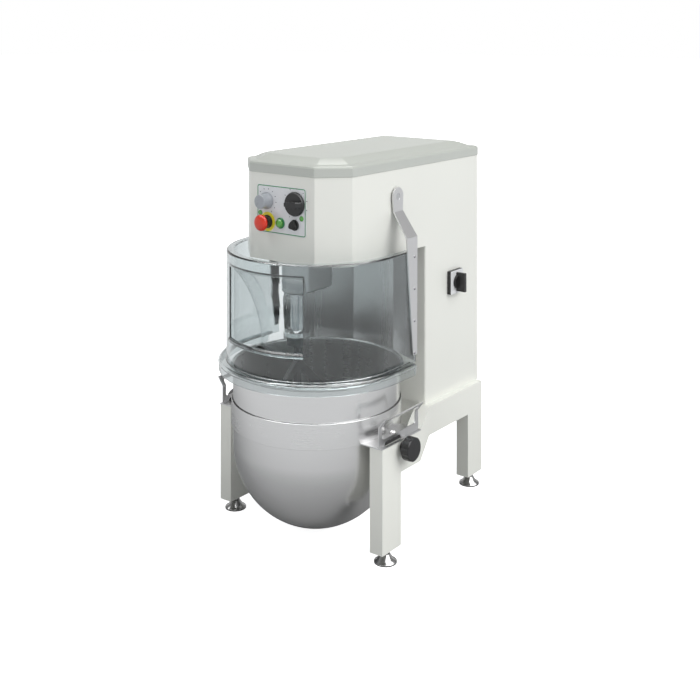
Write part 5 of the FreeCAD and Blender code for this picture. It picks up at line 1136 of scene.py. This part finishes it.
# ---------------------------------------------------------------------------- stage
@dataclass
class Studio:
    """Floor, light and camera.

    Levels are (start, stop, low, high): a brightness goes from low to high while a direction's
    coordinate, or a distance in metres, goes from start to stop.
    """

    axis: Vector
    fill: float = 0.53
    fill_tint: Colour = (0.96, 0.98, 1.0)
    key: float = 1.75
    key_from: Point = (0.76, 0.0, 0.62)
    key_spread: float = 50.0
    spark: float = 0.25
    spark_from: Point = (-0.35, -0.55, 0.75)
    spark_spread: float = 8.0
    ceiling: Levels = (0.08, 0.35, 1.0, 0.35)
    softbox: Levels = (0.68, 0.82, 0.0, 4.5)
    side_glow: Levels = (0.66, 0.85, 0.0, 0.35)
    through: float = 0.27
    floor_reach: float = 40.0
    floor_glow: float = 0.85
    floor_paint: Colour = (0.90, 0.90, 0.90)
    # Round this centre the floor is painted darker in reflections and bounced light: painted shade
    # under the machine.
    painted_shade_centre: Point = (-0.20, 0.35, 0.0)
    floor_painted_shade: Levels = (0.75, 1.55, 0.38, 0.85)
    lens: float = 56.1
    film: float = 36.0
    lens_shift: float = -0.4613
    stand: Point = (1.7799, -2.1864, 1.2918)
    heading: float = 37.4
    far: float = 100.0

    def build(self) -> None:
        """Make the floor, the lights and the camera."""
        self._world()
        self._floor()
        self._sun("key_light", self.key_from, self.key, self.key_spread)
        self._sun("spark_light", self.spark_from, self.spark, self.spark_spread)
        self._camera()

    @staticmethod
    def _ray(g: Graph, kind: str) -> Value:
        """Return 1 for rays of a kind, else 0."""
        return g.node("ShaderNodeLightPath", output=f"Is {kind} Ray")

    @staticmethod
    def _either(g: Graph, first: Value, second: Value) -> Value:
        """Return the greater of two values."""
        return g.node("ShaderNodeMath", {"operation": "MAXIMUM"}, {0: first, 1: second})

    def _world(self) -> None:
        """Make an even room that looks white, with a dim ceiling and a softbox in reflections."""
        world = bpy.data.worlds.new("room")
        bpy.context.scene.world = world
        g = Graph(world)
        bounced = self._either(g, self._ray(g, "Glossy"), self._ray(g, "Transmission"))
        seen = self._either(g, self._ray(g, "Camera"), bounced)
        towards = g.coordinates("Generated")
        up, right = g.part(towards, "Z"), g.part(towards, "X")
        level = (g.rise(up, *self.ceiling) + g.rise(up, *self.softbox)
                 + g.rise(right, *self.side_glow))
        light = g.node("ShaderNodeBackground", None,
                       {"Color": self.fill_tint, "Strength": self.fill})
        bright = g.node("ShaderNodeBackground", None,
                        {"Color": (1.0, 1.0, 1.0), "Strength": level})
        mixed = g.node("ShaderNodeMixShader", None, {0: seen, 1: light, 2: bright})
        g.show("ShaderNodeOutputWorld", mixed)

    def _floor(self) -> None:
        """Make a pale floor that runs far beyond the view; in reflections and bounced light it is
        darker near the machine's feet, a painted shade.
        """
        reach = self.floor_reach
        corners = [(-reach, -reach, 0), (reach, -reach, 0), (reach, reach, 0), (-reach, reach, 0)]
        floor = new_piece("floor", corners, [(0, 1, 2, 3)])
        material = bpy.data.materials.new("floor_paint")
        g = Graph(material)
        seen = self._ray(g, "Transmission") * self.through + self._ray(g, "Camera")
        # Painted shade: for all but camera rays and part of transmission rays, the floor darkens
        # towards the machine.
        away = g.vector("DISTANCE", g.coordinates("Object"), self.painted_shade_centre, "Value")
        floor_painted_shade = g.node("ShaderNodeBsdfDiffuse", None, {"Color": g.rise(away, *self.floor_painted_shade)})
        pale = g.node("ShaderNodeBsdfDiffuse", None, {"Color": self.floor_paint})
        glow = g.node("ShaderNodeEmission", None, {"Strength": self.floor_glow})
        both = g.node("ShaderNodeAddShader", None, {0: pale, 1: glow})
        mixed = g.node("ShaderNodeMixShader", None, {0: seen, 1: floor_painted_shade, 2: both})
        g.show("ShaderNodeOutputMaterial", mixed)
        paint(floor, material)

    @staticmethod
    def _sun(name: str, towards: Point, strength: float, spread: float) -> None:
        """Add a broad soft light that comes from a direction."""
        data = bpy.data.lights.new(name, "SUN")
        data.energy = strength
        data.angle = math.radians(spread)
        lamp = bpy.data.objects.new(name, data)
        lamp.rotation_euler = Vector(towards).to_track_quat("Z", "Y").to_euler()
        bpy.context.scene.collection.objects.link(lamp)

    def _camera(self) -> None:
        """Stand the camera to the front right, level, with the lens shifted down."""
        data = bpy.data.cameras.new("camera")
        data.lens = self.lens
        data.sensor_width = self.film
        data.shift_y = self.lens_shift
        data.clip_end = self.far
        camera = bpy.data.objects.new("camera", data)
        camera.location = self.axis + Vector(self.stand)
        camera.rotation_euler = (math.pi / 2, 0.0, math.radians(self.heading))
        bpy.context.scene.collection.objects.link(camera)
        bpy.context.scene.camera = camera


def main() -> None:
    """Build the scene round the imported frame."""
    logging.basicConfig(level=logging.INFO, format="%(name)s %(message)s")
    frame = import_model()
    bowl = middle("mixing_bowl")
    axis = (bowl.x, bowl.y, 0.0)
    finishes = Finishes(axis)
    for kind in (Housing, Stand, Bowl, Guard, Planetary, Controls, MainSwitch, Clamps):
        kind(finishes).build()
    Studio(Vector(axis)).build()
    bpy.context.scene.view_settings.view_transform = "Standard"
    LOG.info("%d CAD nodes dressed", len(frame["nodes"]))


if __name__ == "__main__":
    main()
